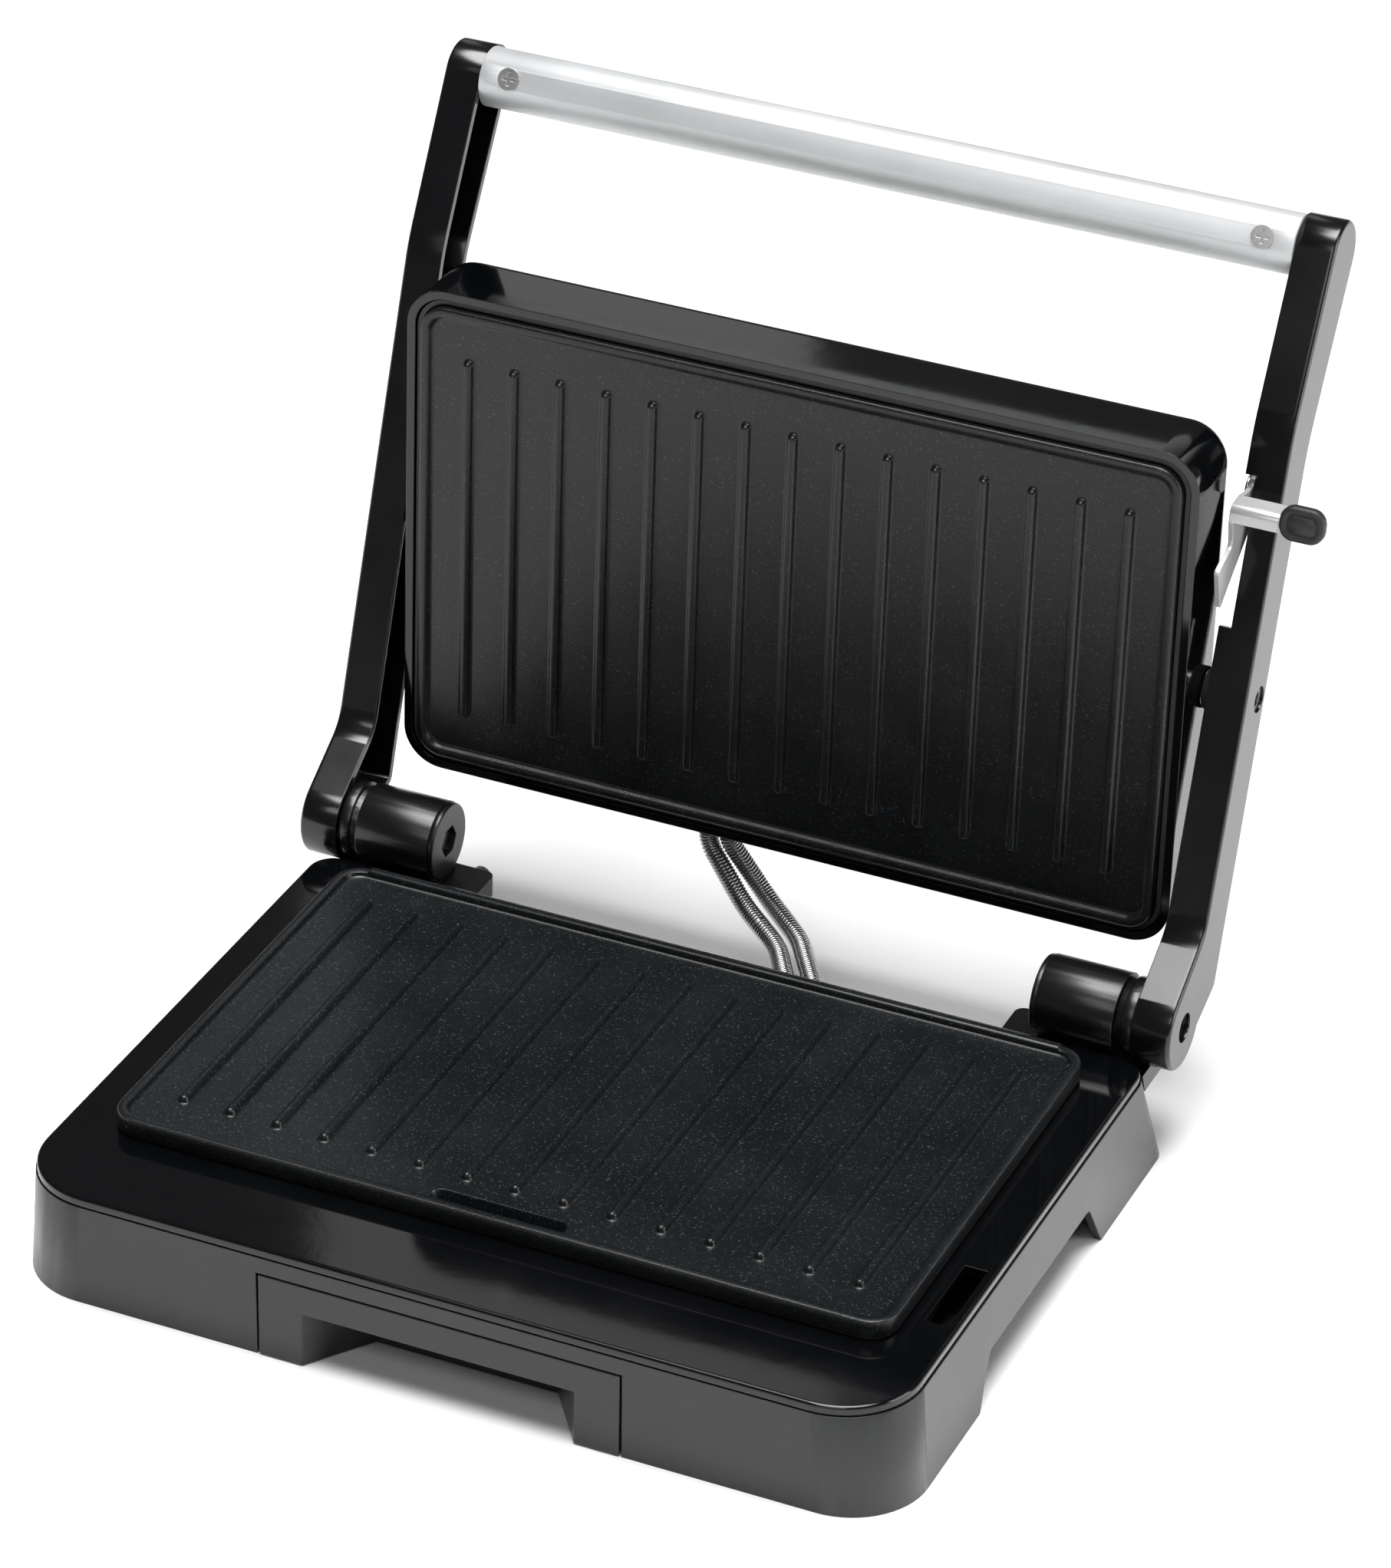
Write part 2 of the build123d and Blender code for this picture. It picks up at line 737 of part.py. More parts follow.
with BuildPart() as drip_tray_front:
    limits_box(
        (-tray_panel_half_width, tray_panel_half_width),
        (deck_front_y, panel_back_y),
        (tray_panel_foot_z, tray_panel_height),
        Mode.ADD,
    )
    # walls of the finger recess behind the panel
    grip_in = grip_half_width - grip_slant
    with BuildSketch(Plane.XY.offset(tray_panel_foot_z)):
        Polygon(
            (-grip_half_width - tray_wall, deck_front_y + 1),
            (grip_half_width + tray_wall, deck_front_y + 1),
            (grip_in + 2 * tray_wall, tray_front_y),
            (-grip_in - 2 * tray_wall, tray_front_y),
            align=None,
        )
    extrude(amount=grip_height + tray_wall - tray_panel_foot_z)
    with BuildSketch(Plane.XY.offset(-1)):
        Polygon(
            (-grip_half_width, deck_front_y - 1),
            (grip_half_width, deck_front_y - 1),
            (grip_half_width, deck_front_y),
            (grip_in, deck_front_y + grip_depth),
            (-grip_in, deck_front_y + grip_depth),
            (-grip_half_width, deck_front_y),
            align=None,
        )
    extrude(amount=grip_height + 1, mode=Mode.SUBTRACT)
save(drip_tray_front, "drip_tray_front")

# ---------------------------------------------------------------- hinge
spring_bay = barrel_outer_x - barrel_inner_x - 2 * barrel_end_wall
with BuildPart() as hinge_bracket:
    with BuildSketch(Plane.YZ.offset(pedestal_inner_x)):
        with BuildLine():
            Polyline(
                (housing_back(pedestal_top_z) + seat_gap, pedestal_top_z),
                (pedestal_back_y, pedestal_top_z),
                (pedestal_back_y, pedestal_bottom_z),
                (housing_back(pedestal_bottom_z) + seat_gap, pedestal_bottom_z),
                close=True,
            )
        make_face()
    extrude(amount=pedestal_outer_x - pedestal_inner_x)
    fillet(hinge_bracket.edges().filter_by(Axis.Z).sort_by(Axis.Y)[-2:], bracket_plate_corner)
    limits_box(
        (barrel_inner_x, barrel_outer_x),
        (-saddle_half_width, saddle_half_width),
        (pedestal_top_z - 1, hinge_z),
        Mode.ADD,
    )
    with BuildSketch(Plane.YZ.offset(barrel_inner_x)):
        with Locations(hinge):
            Circle(barrel_radius)
    extrude(amount=barrel_outer_x - barrel_inner_x)
    with BuildSketch(Plane.YZ.offset(barrel_inner_x + barrel_end_wall)):
        with Locations(hinge):
            Circle(barrel_radius - barrel_wall)
    extrude(amount=spring_bay, mode=Mode.SUBTRACT)
    with BuildSketch(Plane.YZ.offset(barrel_inner_x)):
        with Locations(hinge):
            Circle(bolt_radius + running_gap)
    extrude(amount=barrel_outer_x - barrel_inner_x, mode=Mode.SUBTRACT)
    with BuildSketch(Plane.XZ.offset(-pedestal_back_y)):
        with Locations(*[(x, bracket_screw_z) for x in bracket_screw_xs]):
            Circle(bracket_screw_radius + running_gap)
    extrude(amount=30, mode=Mode.SUBTRACT)
save_pair(hinge_bracket, "hinge_bracket")

with BuildPart() as bracket_screws:
    with BuildSketch(Plane.XZ.offset(-pedestal_back_y)):
        with Locations(*[(x, bracket_screw_z) for x in bracket_screw_xs]):
            Circle(screw_head_radius)
    extrude(amount=-screw_head_height)
    with BuildSketch(Plane.XZ.offset(-pedestal_back_y)):
        with Locations(*[(x, bracket_screw_z) for x in bracket_screw_xs]):
            Circle(bracket_screw_radius)
    extrude(amount=pedestal_back_y - deck_back_y + 4)
    with BuildSketch(Plane.XZ.offset(-pedestal_back_y - screw_head_height)):
        with Locations(*[(x, bracket_screw_z) for x in bracket_screw_xs]):
            RegularPolygon(1.6, 6)
    extrude(amount=screw_head_height / 2, mode=Mode.SUBTRACT)
save_pair(bracket_screws, "bracket_screws")

with BuildPart() as hinge_cap:
    with BuildSketch(Plane.YZ.offset(barrel_inner_x - seat_gap / 2)):
        with Locations(hinge):
            Circle(barrel_radius - cap_overlap)
    extrude(amount=-cap_thickness)
    chamfer(hinge_cap.edges().group_by(Axis.X)[0], cap_edge)
    with BuildSketch(Plane.YZ.offset(barrel_inner_x - seat_gap / 2 - cap_thickness)):
        with Locations(hinge):
            RegularPolygon(hex_radius, 6)
    extrude(amount=cap_thickness, mode=Mode.SUBTRACT)
save_pair(hinge_cap, "hinge_cap")

bolt_inner_x = barrel_inner_x + 0.2
bolt_outer_x = arm_outer_x - arm_wall - 0.4
with BuildPart() as hinge_bolt:
    with BuildSketch(Plane.YZ.offset(bolt_inner_x)):
        with Locations(hinge):
            Circle(bolt_radius)
    extrude(amount=bolt_outer_x - bolt_inner_x)
    chamfer(hinge_bolt.edges().group_by(Axis.X)[-1], cap_edge)
    with BuildSketch(Plane.YZ.offset(bolt_outer_x)):
        with Locations(hinge):
            RegularPolygon(bolt_hex_radius, 6)
    extrude(amount=-3, mode=Mode.SUBTRACT)
save_pair(hinge_bolt, "hinge_bolt")

with BuildPart() as hinge_spring:
    with BuildSketch(Plane.YZ.offset(barrel_inner_x + barrel_end_wall + seat_gap)):
        with Locations(hinge):
            Circle(barrel_radius - barrel_wall - side_gap)
            Circle(bolt_radius + 2 * side_gap, mode=Mode.SUBTRACT)
    extrude(amount=spring_bay - 2 * seat_gap)
save_pair(hinge_spring, "hinge_spring")

with BuildPart() as hinge_collar:
    with BuildSketch(Plane.YZ.offset(barrel_outer_x + seat_gap)):
        with Locations(hinge):
            Circle(collar_radius - collar_neck)
    extrude(amount=collar_step)
    with BuildSketch(Plane.YZ.offset(barrel_outer_x + seat_gap + collar_step)):
        with Locations(hinge):
            Circle(collar_radius)
    extrude(amount=arm_inner_x - side_gap - barrel_outer_x - seat_gap - collar_step)
    with BuildSketch(Plane.YZ.offset(barrel_outer_x)):
        with Locations(hinge):
            Circle(bolt_radius + running_gap)
    extrude(amount=10, mode=Mode.SUBTRACT)
save_pair(hinge_collar, "hinge_collar")

# ---------------------------------------------------------------- arms
front_tangent = tangent_point(hinge, boss_radius, arm_knee, 1)
arm_radii = [
    arm_knee_radius,
    arm_bend_radius,
    arm_tip_radius,
    arm_tip_radius,
    arm_bend_radius,
    arm_heel_radius,
    1,
]
with BuildPart() as arm_blank:
    with BuildSketch(Plane.YZ.offset(arm_inner_x)) as arm_outline:
        with BuildLine():
            FilletPolyline(
                front_tangent,
                arm_knee,
                arm_shoulder,
                arm_tip_front,
                arm_tip_back,
                arm_back_shoulder,
                arm_heel,
                arm_heel_foot,
                hinge,
                radius=arm_radii,
            )
            Line(hinge, front_tangent)
        make_face()
        with Locations(hinge):
            Circle(boss_radius)
    extrude(amount=arm_outer_x - arm_inner_x)
    fillet(arm_blank.edges().group_by(Axis.X)[-1], arm_edge_radius)
    with BuildSketch(Plane.YZ.offset(arm_inner_x)):
        offset(arm_outline.sketch_local, amount=-arm_wall, kind=Kind.INTERSECTION)
    extrude(amount=arm_outer_x - arm_inner_x - arm_wall, mode=Mode.SUBTRACT)
    with BuildSketch(Plane.YZ.offset(arm_inner_x)):
        with Locations(hinge):
            Circle(hub_radius)
    extrude(amount=arm_outer_x - arm_inner_x - arm_wall)
    with BuildSketch(Plane.YZ.offset(arm_inner_x)):
        with Locations(hinge):
            Circle(bolt_radius + running_gap)
    extrude(amount=arm_outer_x - arm_inner_x - arm_wall, mode=Mode.SUBTRACT)
    with BuildSketch(Plane.YZ.offset(arm_outer_x)):
        with Locations(hinge):
            Circle(hinge_hole_radius)
        with Locations((pivot_y, pivot_z)):
            Circle(pivot_shank_radius + running_gap)
    extrude(amount=-arm_wall, mode=Mode.SUBTRACT)

with BuildPart() as arm_left:
    mirror(arm_blank.part, about=Plane.YZ)
save(arm_left, "arm_left")

with BuildPart() as arm_right:
    add(arm_blank.part)
    with BuildSketch(latch_frame):
        with Locations((notch_length / 2, -arm_wall)):
            Rectangle(notch_length, 3 * arm_wall)
    extrude(amount=latch_plate_x - notch_outer_x, mode=Mode.SUBTRACT)
    with BuildSketch(latch_frame):
        with Locations((notch_length / 2, -arm_wall)):
            Rectangle(notch_length, 3 * arm_wall)
    extrude(amount=latch_plate_x - arm_inner_x + 1, mode=Mode.SUBTRACT)
    # boss that the latch pin is riveted into
    pin_boss = latch_frame.offset(latch_plate_x - arm_outer_x + arm_wall)
    with BuildSketch(pin_boss):
        with Locations(latch_pivot):
            Circle(latch_boss_radius)
    extrude(amount=arm_outer_x - arm_wall - latch_plate_x - side_gap)
    with BuildSketch(pin_boss):
        with Locations(latch_pivot):
            Circle(latch_pin_radius + running_gap)
    extrude(amount=20, mode=Mode.SUBTRACT)
save(arm_right, "arm_right")

# ---------------------------------------------------------------- handle
grip_plane = Plane.YZ.offset(-arm_inner_x + seat_gap)
handle_out = Vector(0, cos(radians(handle_screw_angle)), sin(radians(handle_screw_angle)))
screw_seats = [
    Plane(
        origin=(x, handle_y + handle_radius * handle_out.Y, handle_z + handle_radius * handle_out.Z),
        x_dir=(1, 0, 0),
        z_dir=handle_out,
    )
    for x in (-handle_screw_x, handle_screw_x)
]
with BuildPart() as handle_bar:
    with BuildSketch(grip_plane):
        with Locations((handle_y, handle_z)):
            Circle(handle_radius)
            Circle(handle_radius - handle_wall, mode=Mode.SUBTRACT)
    extrude(amount=2 * (arm_inner_x - seat_gap))
    for seat in screw_seats:
        with BuildSketch(seat.offset(-head_sink)):
            Circle(handle_screw_head + running_gap)
        extrude(amount=3, mode=Mode.SUBTRACT)
        with BuildSketch(seat):
            Circle(handle_screw_radius + 3 * running_gap)
        extrude(amount=-2 * handle_wall - 0.5, mode=Mode.SUBTRACT)
save(handle_bar, "handle_bar")

with BuildPart() as handle_plug:
    with BuildSketch(Plane.YZ.offset(arm_inner_x - plug_reach)):
        with Locations((handle_y, handle_z)):
            Circle(handle_radius - handle_wall - running_gap)
    extrude(amount=plug_reach - seat_gap)
    with BuildSketch(Plane.YZ.offset(arm_inner_x - seat_gap)):
        with Locations((handle_y, handle_z)):
            Circle(plug_spigot_radius)
    extrude(amount=arm_outer_x - arm_wall - arm_inner_x + seat_gap)
    with BuildSketch(screw_seats[1].offset(-handle_wall)):
        Circle(handle_screw_radius + running_gap)
    extrude(amount=-plug_bore - 1, mode=Mode.SUBTRACT)
save_pair(handle_plug, "handle_plug")

with BuildPart() as handle_screws:
    for seat in screw_seats:
        with BuildSketch(seat.offset(-head_sink)):
            Circle(handle_screw_head)
        extrude(amount=head_sink + handle_screw_rise)
        with BuildSketch(seat.offset(-head_sink)):
            Circle(handle_screw_radius)
        extrude(amount=-plug_bore)
        with BuildSketch(seat.offset(handle_screw_rise)):
            Rectangle(*handle_slot)
            Rectangle(*handle_slot_turned)
        extrude(amount=-head_sink, mode=Mode.SUBTRACT)
save(handle_screws, "handle_screws")

# ---------------------------------------------------------------- lid pivots
bush_inner_x = lid_half_width - bush_length
pin_outer_x = arm_outer_x - pin_recess
with BuildPart() as pivot_pin:
    with BuildSketch(Plane.YZ.offset(arm_inner_x)):
        with Locations((pivot_y, pivot_z)):
            Circle(pivot_shank_radius)
    extrude(amount=pin_outer_x - arm_inner_x)
    with BuildSketch(Plane.YZ.offset(arm_inner_x)):
        with Locations((pivot_y, pivot_z)):
            Circle(pivot_radius)
    extrude(amount=bush_inner_x + 1 - arm_inner_x)
    with BuildSketch(Plane.YZ.offset(pin_outer_x)):
        with Locations((pivot_y, pivot_z)):
            RegularPolygon(pivot_hex_radius, 6)
    extrude(amount=-2.5, mode=Mode.SUBTRACT)
save_pair(pivot_pin, "pivot_pin")

with BuildPart() as pivot_spacer:
    with BuildSketch(Plane.YZ.offset(lid_half_width + side_gap)):
        with Locations((pivot_y, pivot_z)):
            Circle(spacer_radius)
            Circle(pivot_radius + running_gap, mode=Mode.SUBTRACT)
    extrude(amount=arm_inner_x - seat_gap - lid_half_width - side_gap)
save_pair(pivot_spacer, "pivot_spacer")

# ---------------------------------------------------------------- lid
lid_axis = Axis(lid_frame.origin, lid_frame.z_dir)
shell_size = (2 * lid_half_width, plate_depth + 2 * lid_margin_depth)


def lid_plane(z):
    """Plane of the lid frame at height z, centred on the plate."""
    centre = lid_frame.from_local_coords(Vector(0, lid_centre_y, z))
    return Plane(origin=centre, x_dir=lid_frame.x_dir, z_dir=lid_frame.z_dir)


shell_height = lid_top_z - lid_floor_z
with BuildPart() as lid_shell:
    with BuildSketch(lid_plane(lid_floor_z)):
        RectangleRounded(*shell_size, lid_corner)
    extrude(amount=shell_height)
    fillet(lid_shell.edges().group_by(lid_axis)[-1], lid_edge_radius)
    with BuildSketch(lid_plane(lid_top_z)):
        RectangleRounded(
            shell_size[0] - 2 * back_panel_inset, shell_size[1] - 2 * back_panel_inset, lid_corner
        )
    extrude(amount=back_panel_height)
    fillet(lid_shell.edges().group_by(lid_axis)[-1], back_panel_edge)
    with BuildSketch(lid_plane(lid_floor_z)):
        RectangleRounded(
            shell_size[0] - 2 * lid_wall, shell_size[1] - 2 * lid_wall, lid_corner - lid_wall
        )
    extrude(amount=lid_side_top - lid_floor_z, mode=Mode.SUBTRACT)
    with BuildSketch(lid_plane(lid_side_top)):
        RectangleRounded(
            shell_size[0] - 2 * lid_edge_radius, shell_size[1] - 2 * lid_edge_radius, lid_corner / 2
        )
    extrude(amount=lid_inner_top_z - lid_side_top, mode=Mode.SUBTRACT)
    # bosses for the pivot bushes
    for side in (-1, 1):
        with BuildSketch(Plane.YZ.offset(side * bush_inner_x)):
            with Locations((pivot_y, pivot_z)):
                Circle(bush_radius + bush_boss_wall)
        extrude(amount=side * (lid_half_width - bush_inner_x))
        with BuildSketch(Plane.YZ.offset(side * (bush_inner_x - 1))):
            with Locations((pivot_y, pivot_z)):
                Circle(bush_radius + running_gap)
        extrude(amount=side * (bush_length + 2), mode=Mode.SUBTRACT)
    # posts that carry the upper plate
    with BuildSketch(lid_plane(lid_inner_top_z)):
        with GridLocations(2 * post_x, 2 * post_y, 2, 2):
            Circle(post_foot_radius)
    extrude(amount=-lid_post_shoulder)
    with BuildSketch(lid_plane(lid_inner_top_z)):
        with GridLocations(2 * post_x, 2 * post_y, 2, 2):
            Circle(post_radius)
    extrude(amount=upper_under_z + seat_gap - lid_inner_top_z)
    with BuildSketch(lid_plane(lid_top_z + back_panel_height)):
        with GridLocations(2 * post_x, 2 * post_y, 2, 2):
            Circle(screw_radius + running_gap)
    extrude(amount=-40, mode=Mode.SUBTRACT)
    with BuildSketch(lid_plane(lid_top_z + back_panel_height)):
        with GridLocations(2 * post_x, 2 * post_y, 2, 2):
            Circle(screw_head_radius + side_gap)
    extrude(amount=-screw_head_height, mode=Mode.SUBTRACT)
    # exit for the two wiring conduits
    exit_plane = Plane(
        origin=lid_frame.from_local_coords(
            Vector(exit_x, lid_centre_y + shell_size[1] / 2, exit_z)
        ),
        x_dir=(1, 0, 0),
        z_dir=lid_frame.y_dir,
    )
    with BuildSketch(exit_plane):
        SlotCenterToCenter(conduit_pitch, 2 * (conduit_radius + conduit_bush_collar))
    extrude(amount=-lid_wall, mode=Mode.SUBTRACT)
save(lid_shell, "lid_shell")

with BuildPart() as lid_bezel:
    bezel_length = plate_length + 2 * (side_gap + bezel_width)
    bezel_depth = plate_depth + 2 * (side_gap + bezel_width)
    bezel_z = lid_floor_z + bezel_recess
    ledge_z = lid_floor_z + plate_flange + seat_gap
    bezel_corner = plate_corner + side_gap + bezel_width
    with BuildSketch(lid_plane(bezel_z)):
        RectangleRounded(bezel_length, bezel_depth, bezel_corner)
    extrude(amount=ledge_z + bezel_step - bezel_z)
    with BuildSketch(lid_plane(ledge_z + bezel_step)):
        RectangleRounded(
            shell_size[0] - 2 * (lid_wall + seat_gap),
            shell_size[1] - 2 * (lid_wall + seat_gap),
            lid_corner - lid_wall,
        )
    extrude(amount=bezel_step)
    with BuildSketch(lid_plane(bezel_z)):
        RectangleRounded(
            plate_length + 2 * side_gap, plate_depth + 2 * side_gap, plate_corner + side_gap
        )
    extrude(amount=ledge_z - bezel_z, mode=Mode.SUBTRACT)
    with BuildSketch(lid_plane(bezel_z)):
        RectangleRounded(
            plate_length - 2 * bezel_ledge, plate_depth - 2 * bezel_ledge, plate_corner - bezel_ledge
        )
    extrude(amount=30, mode=Mode.SUBTRACT)
save(lid_bezel, "lid_bezel")

upper_grill_plate = grill_plate(lid_plate_plane, drain=False)
save(upper_grill_plate, "upper_grill_plate")

upper_heating_element = heating_element(lid_plane(upper_under_z + element_drop))
save(upper_heating_element, "upper_heating_element")

shoulder_z = lid_inner_top_z - lid_post_shoulder - seat_gap - reflector_thickness
upper_heat_reflector = reflector(lid_plane(shoulder_z))
save(upper_heat_reflector, "upper_heat_reflector")

upper_thermostat = thermostat(lid_plane(upper_under_z + seat_gap), 40)
save(upper_thermostat, "upper_thermostat")

with BuildPart() as thermal_fuse:
    fuse_axis = Plane(
        origin=lid_plane(upper_under_z + seat_gap + fuse_radius).origin,
        x_dir=lid_frame.y_dir,
        z_dir=(1, 0, 0),
    )
    with BuildSketch(fuse_axis):
        with Locations((fuse_spot, 0)):
            Circle(fuse_radius)
    extrude(amount=fuse_length / 2, both=True)
save(thermal_fuse, "thermal_fuse")

upper_head_z = lid_top_z + back_panel_height - screw_head_height
lid_head_plane = Plane(
    origin=lid_frame.from_local_coords(Vector(0, lid_centre_y, upper_head_z)),
    x_dir=(1, 0, 0),
    z_dir=-lid_frame.z_dir,
)
upper_reach = upper_head_z - upper_under_z + screw_grip - screw_tip_gap
upper_plate_screws = plate_screws(lid_head_plane, upper_reach)
save(upper_plate_screws, "upper_plate_screws")

with BuildPart() as pivot_bush:
    with BuildSketch(Plane.YZ.offset(bush_inner_x)):
        with Locations((pivot_y, pivot_z)):
            Circle(bush_radius)
            Circle(pivot_radius + running_gap, mode=Mode.SUBTRACT)
    extrude(amount=lid_half_width - bush_inner_x)
save_pair(pivot_bush, "lid_pivot_bush")

with BuildPart() as conduit_bush:
    with BuildSketch(exit_plane.offset(-lid_wall)):
        SlotCenterToCenter(
            conduit_pitch, 2 * (conduit_radius + conduit_bush_collar - running_gap)
        )
    extrude(amount=lid_wall)
    with BuildSketch(exit_plane):
        SlotCenterToCenter(conduit_pitch, 2 * (conduit_radius + conduit_bush_lip))
    extrude(amount=conduit_bush_height)
    with BuildSketch(exit_plane.offset(-lid_wall)):
        with GridLocations(conduit_pitch, 0, 2, 1):
            Circle(conduit_radius - conduit_seat_depth)
    extrude(amount=10, mode=Mode.SUBTRACT)
save(conduit_bush, "lid_conduit_bush")

# ---------------------------------------------------------------- conduits
gland_z = 21.0
gland_x = 20.5
gland_half_width = 12.0
gland_half_height = 6.0
gland_depth = 3.0
gland_face_y = housing_back(gland_z - gland_half_height) + gland_depth
gland_spread = 9.0
gland_corner = 3.0
gland_socket = 2.0
with BuildPart() as conduit_gland:
    with BuildSketch(Plane.YZ.offset(gland_x - gland_half_width)):
        with BuildLine():
            Polyline(
                (housing_back(gland_z + gland_half_height) + seat_gap, gland_z + gland_half_height),
                (gland_face_y, gland_z + gland_half_height),
                (gland_face_y, gland_z - gland_half_height),
                (housing_back(gland_z - gland_half_height) + seat_gap, gland_z - gland_half_height),
                close=True,
            )
        make_face()
    extrude(amount=2 * gland_half_width)
    fillet(conduit_gland.edges().filter_by(Axis.Y), gland_corner)
    with BuildSketch(Plane.XZ.offset(-gland_face_y)):
        with Locations((gland_x, gland_z)):
            with GridLocations(gland_spread, 0, 2, 1):
                Circle(conduit_radius - conduit_seat_depth)
    extrude(amount=20, mode=Mode.SUBTRACT)
save(conduit_gland, "conduit_gland")

# Each conduit drops out of the lid, bows towards the back and runs across to the gland.
left_drop_length = 6.6
right_drop_length = 4.1
exit_face = exit_plane.offset(conduit_bush_height + seat_gap)
end_y = gland_face_y + gland_socket
left_start = exit_face.from_local_coords(Vector(-conduit_pitch / 2, 0, 0))
left_drop = exit_face.from_local_coords(Vector(-conduit_pitch / 2, 0, left_drop_length))
right_start = exit_face.from_local_coords(Vector(conduit_pitch / 2, 0, 0))
right_drop = exit_face.from_local_coords(Vector(conduit_pitch / 2, 0, right_drop_length))
left_route = [
    left_start,
    left_drop,
    (-11.5, 29.5, 25.5),
    (3.5, 19.5, 21.0),
    (gland_x - gland_spread / 2, end_y, gland_z),
]
right_route = [
    right_start,
    right_drop,
    (-8.0, 36.6, 26.4),
    (8.0, 25.4, 21.3),
    (gland_x + gland_spread / 2, end_y, gland_z + 0.2),
]
for label, route_points in (("conduit_left", left_route), ("conduit_right", right_route)):
    with BuildPart() as conduit:
        with BuildLine() as conduit_route:
            FilletPolyline(*route_points, radius=conduit_bends)
        route_wire = conduit_route.wire()
        with BuildSketch(Plane(route_wire @ 0, z_dir=route_wire % 0)):
            Circle(conduit_radius)
        sweep()
    save(conduit, label)
    tube_share = conduit.part.volume / (pi * conduit_radius**2 * route_wire.length)
    print(label, "volume over section times length", round(tube_share, 4))

# ---------------------------------------------------------------- latch
with BuildPart() as latch_hook:
    with BuildSketch(latch_frame):
        with BuildLine():
            FilletPolyline(
                (2.6, -4.2),
                (4.5, 1.0),
                (5.0, 5.8),
                (7.5, 11.9),
                (12.2, 11.1),
                (19.0, 7.6),
                (23.2, 13.6),
                (25.5, 16.6),
                (36.6, 9.4),
                (31.5, 6.0),
                (25.1, 1.2),
                (16.0, -5.6),
                (4.2, -10.0),
                radius=[3, 1, 2.5, 2, 2, 1, 1, 0.6, 3, 6, 6],
            )
            Line((4.2, -10.0), (2.6, -4.2))
        make_face()
        with Locations(latch_pivot):
            Circle(latch_eye_radius)
    extrude(amount=latch_thickness)
    # bridge across the front of the arm
    with BuildSketch(latch_frame):
        with BuildLine():
            FilletPolyline(
                (5.0, 5.8),
                (7.5, 11.9),
                (12.2, 11.1),
                (12.0, 9.7),
                (8.4, 10.3),
                (6.3, 5.3),
                radius=[2.5, 0.4, 0.4, 1.1],
            )
            Line((6.3, 5.3), (5.0, 5.8))
        make_face()
    extrude(amount=latch_plate_x - latch_bridge_outer_x)
    # tongue inside the finger tab
    tongue_plane = latch_frame.offset(latch_plate_x - latch_bridge_outer_x)
    with BuildSketch(tongue_plane):
        with Locations(Location(tongue_centre, tab_turn)):
            Rectangle(tongue_width, tongue_thickness)
    extrude(amount=-tongue_reach)
    with BuildSketch(latch_frame):
        with Locations(latch_pivot):
            Circle(latch_pin_radius + running_gap)
    extrude(amount=latch_thickness, mode=Mode.SUBTRACT)
save(latch_hook, "latch_hook")

tab_frame = tongue_plane.offset(-seat_gap)
with BuildPart() as latch_tab:
    with BuildSketch(tab_frame):
        with Locations(Location(tab_centre, tab_turn)):
            RectangleRounded(tab_width, latch_tab_thickness, tab_corner)
    extrude(amount=latch_bridge_outer_x - latch_tab_outer_x)
    tip_edges = latch_tab.edges().group_by(Axis.X)[-1]
    fillet(tip_edges, tab_edge_radius)
    with BuildSketch(tab_frame):
        with Locations(Location(tongue_centre, tab_turn)):
            Rectangle(tongue_width + 2 * running_gap, tongue_thickness + 2 * running_gap)
    extrude(amount=-tongue_reach - seat_gap, mode=Mode.SUBTRACT)
save(latch_tab, "latch_tab")

pin_inner_x = latch_x - side_gap
with BuildPart() as latch_pin:
    with BuildSketch(latch_frame.offset(latch_plate_x - pin_inner_x)):
        with Locations(latch_pivot):
            Circle(latch_pin_radius)
    extrude(amount=pin_inner_x - arm_outer_x + arm_wall)
    with BuildSketch(latch_frame.offset(latch_plate_x - pin_inner_x)):
        with Locations(latch_pivot):
            Circle(latch_pin_radius + latch_rivet_head[0])
    extrude(amount=latch_rivet_head[1])
save(latch_pin, "latch_pin")
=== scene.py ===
"""Looks of a contact grill with two ribbed plates, a floating lid, swing arms and a side latch.

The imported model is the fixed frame.  Every length here is in metres and every place comes
from that frame.
"""

import json
import logging
import math
from dataclasses import dataclass, field
from enum import Enum

import bmesh
import bpy
from mathutils import Matrix, Vector

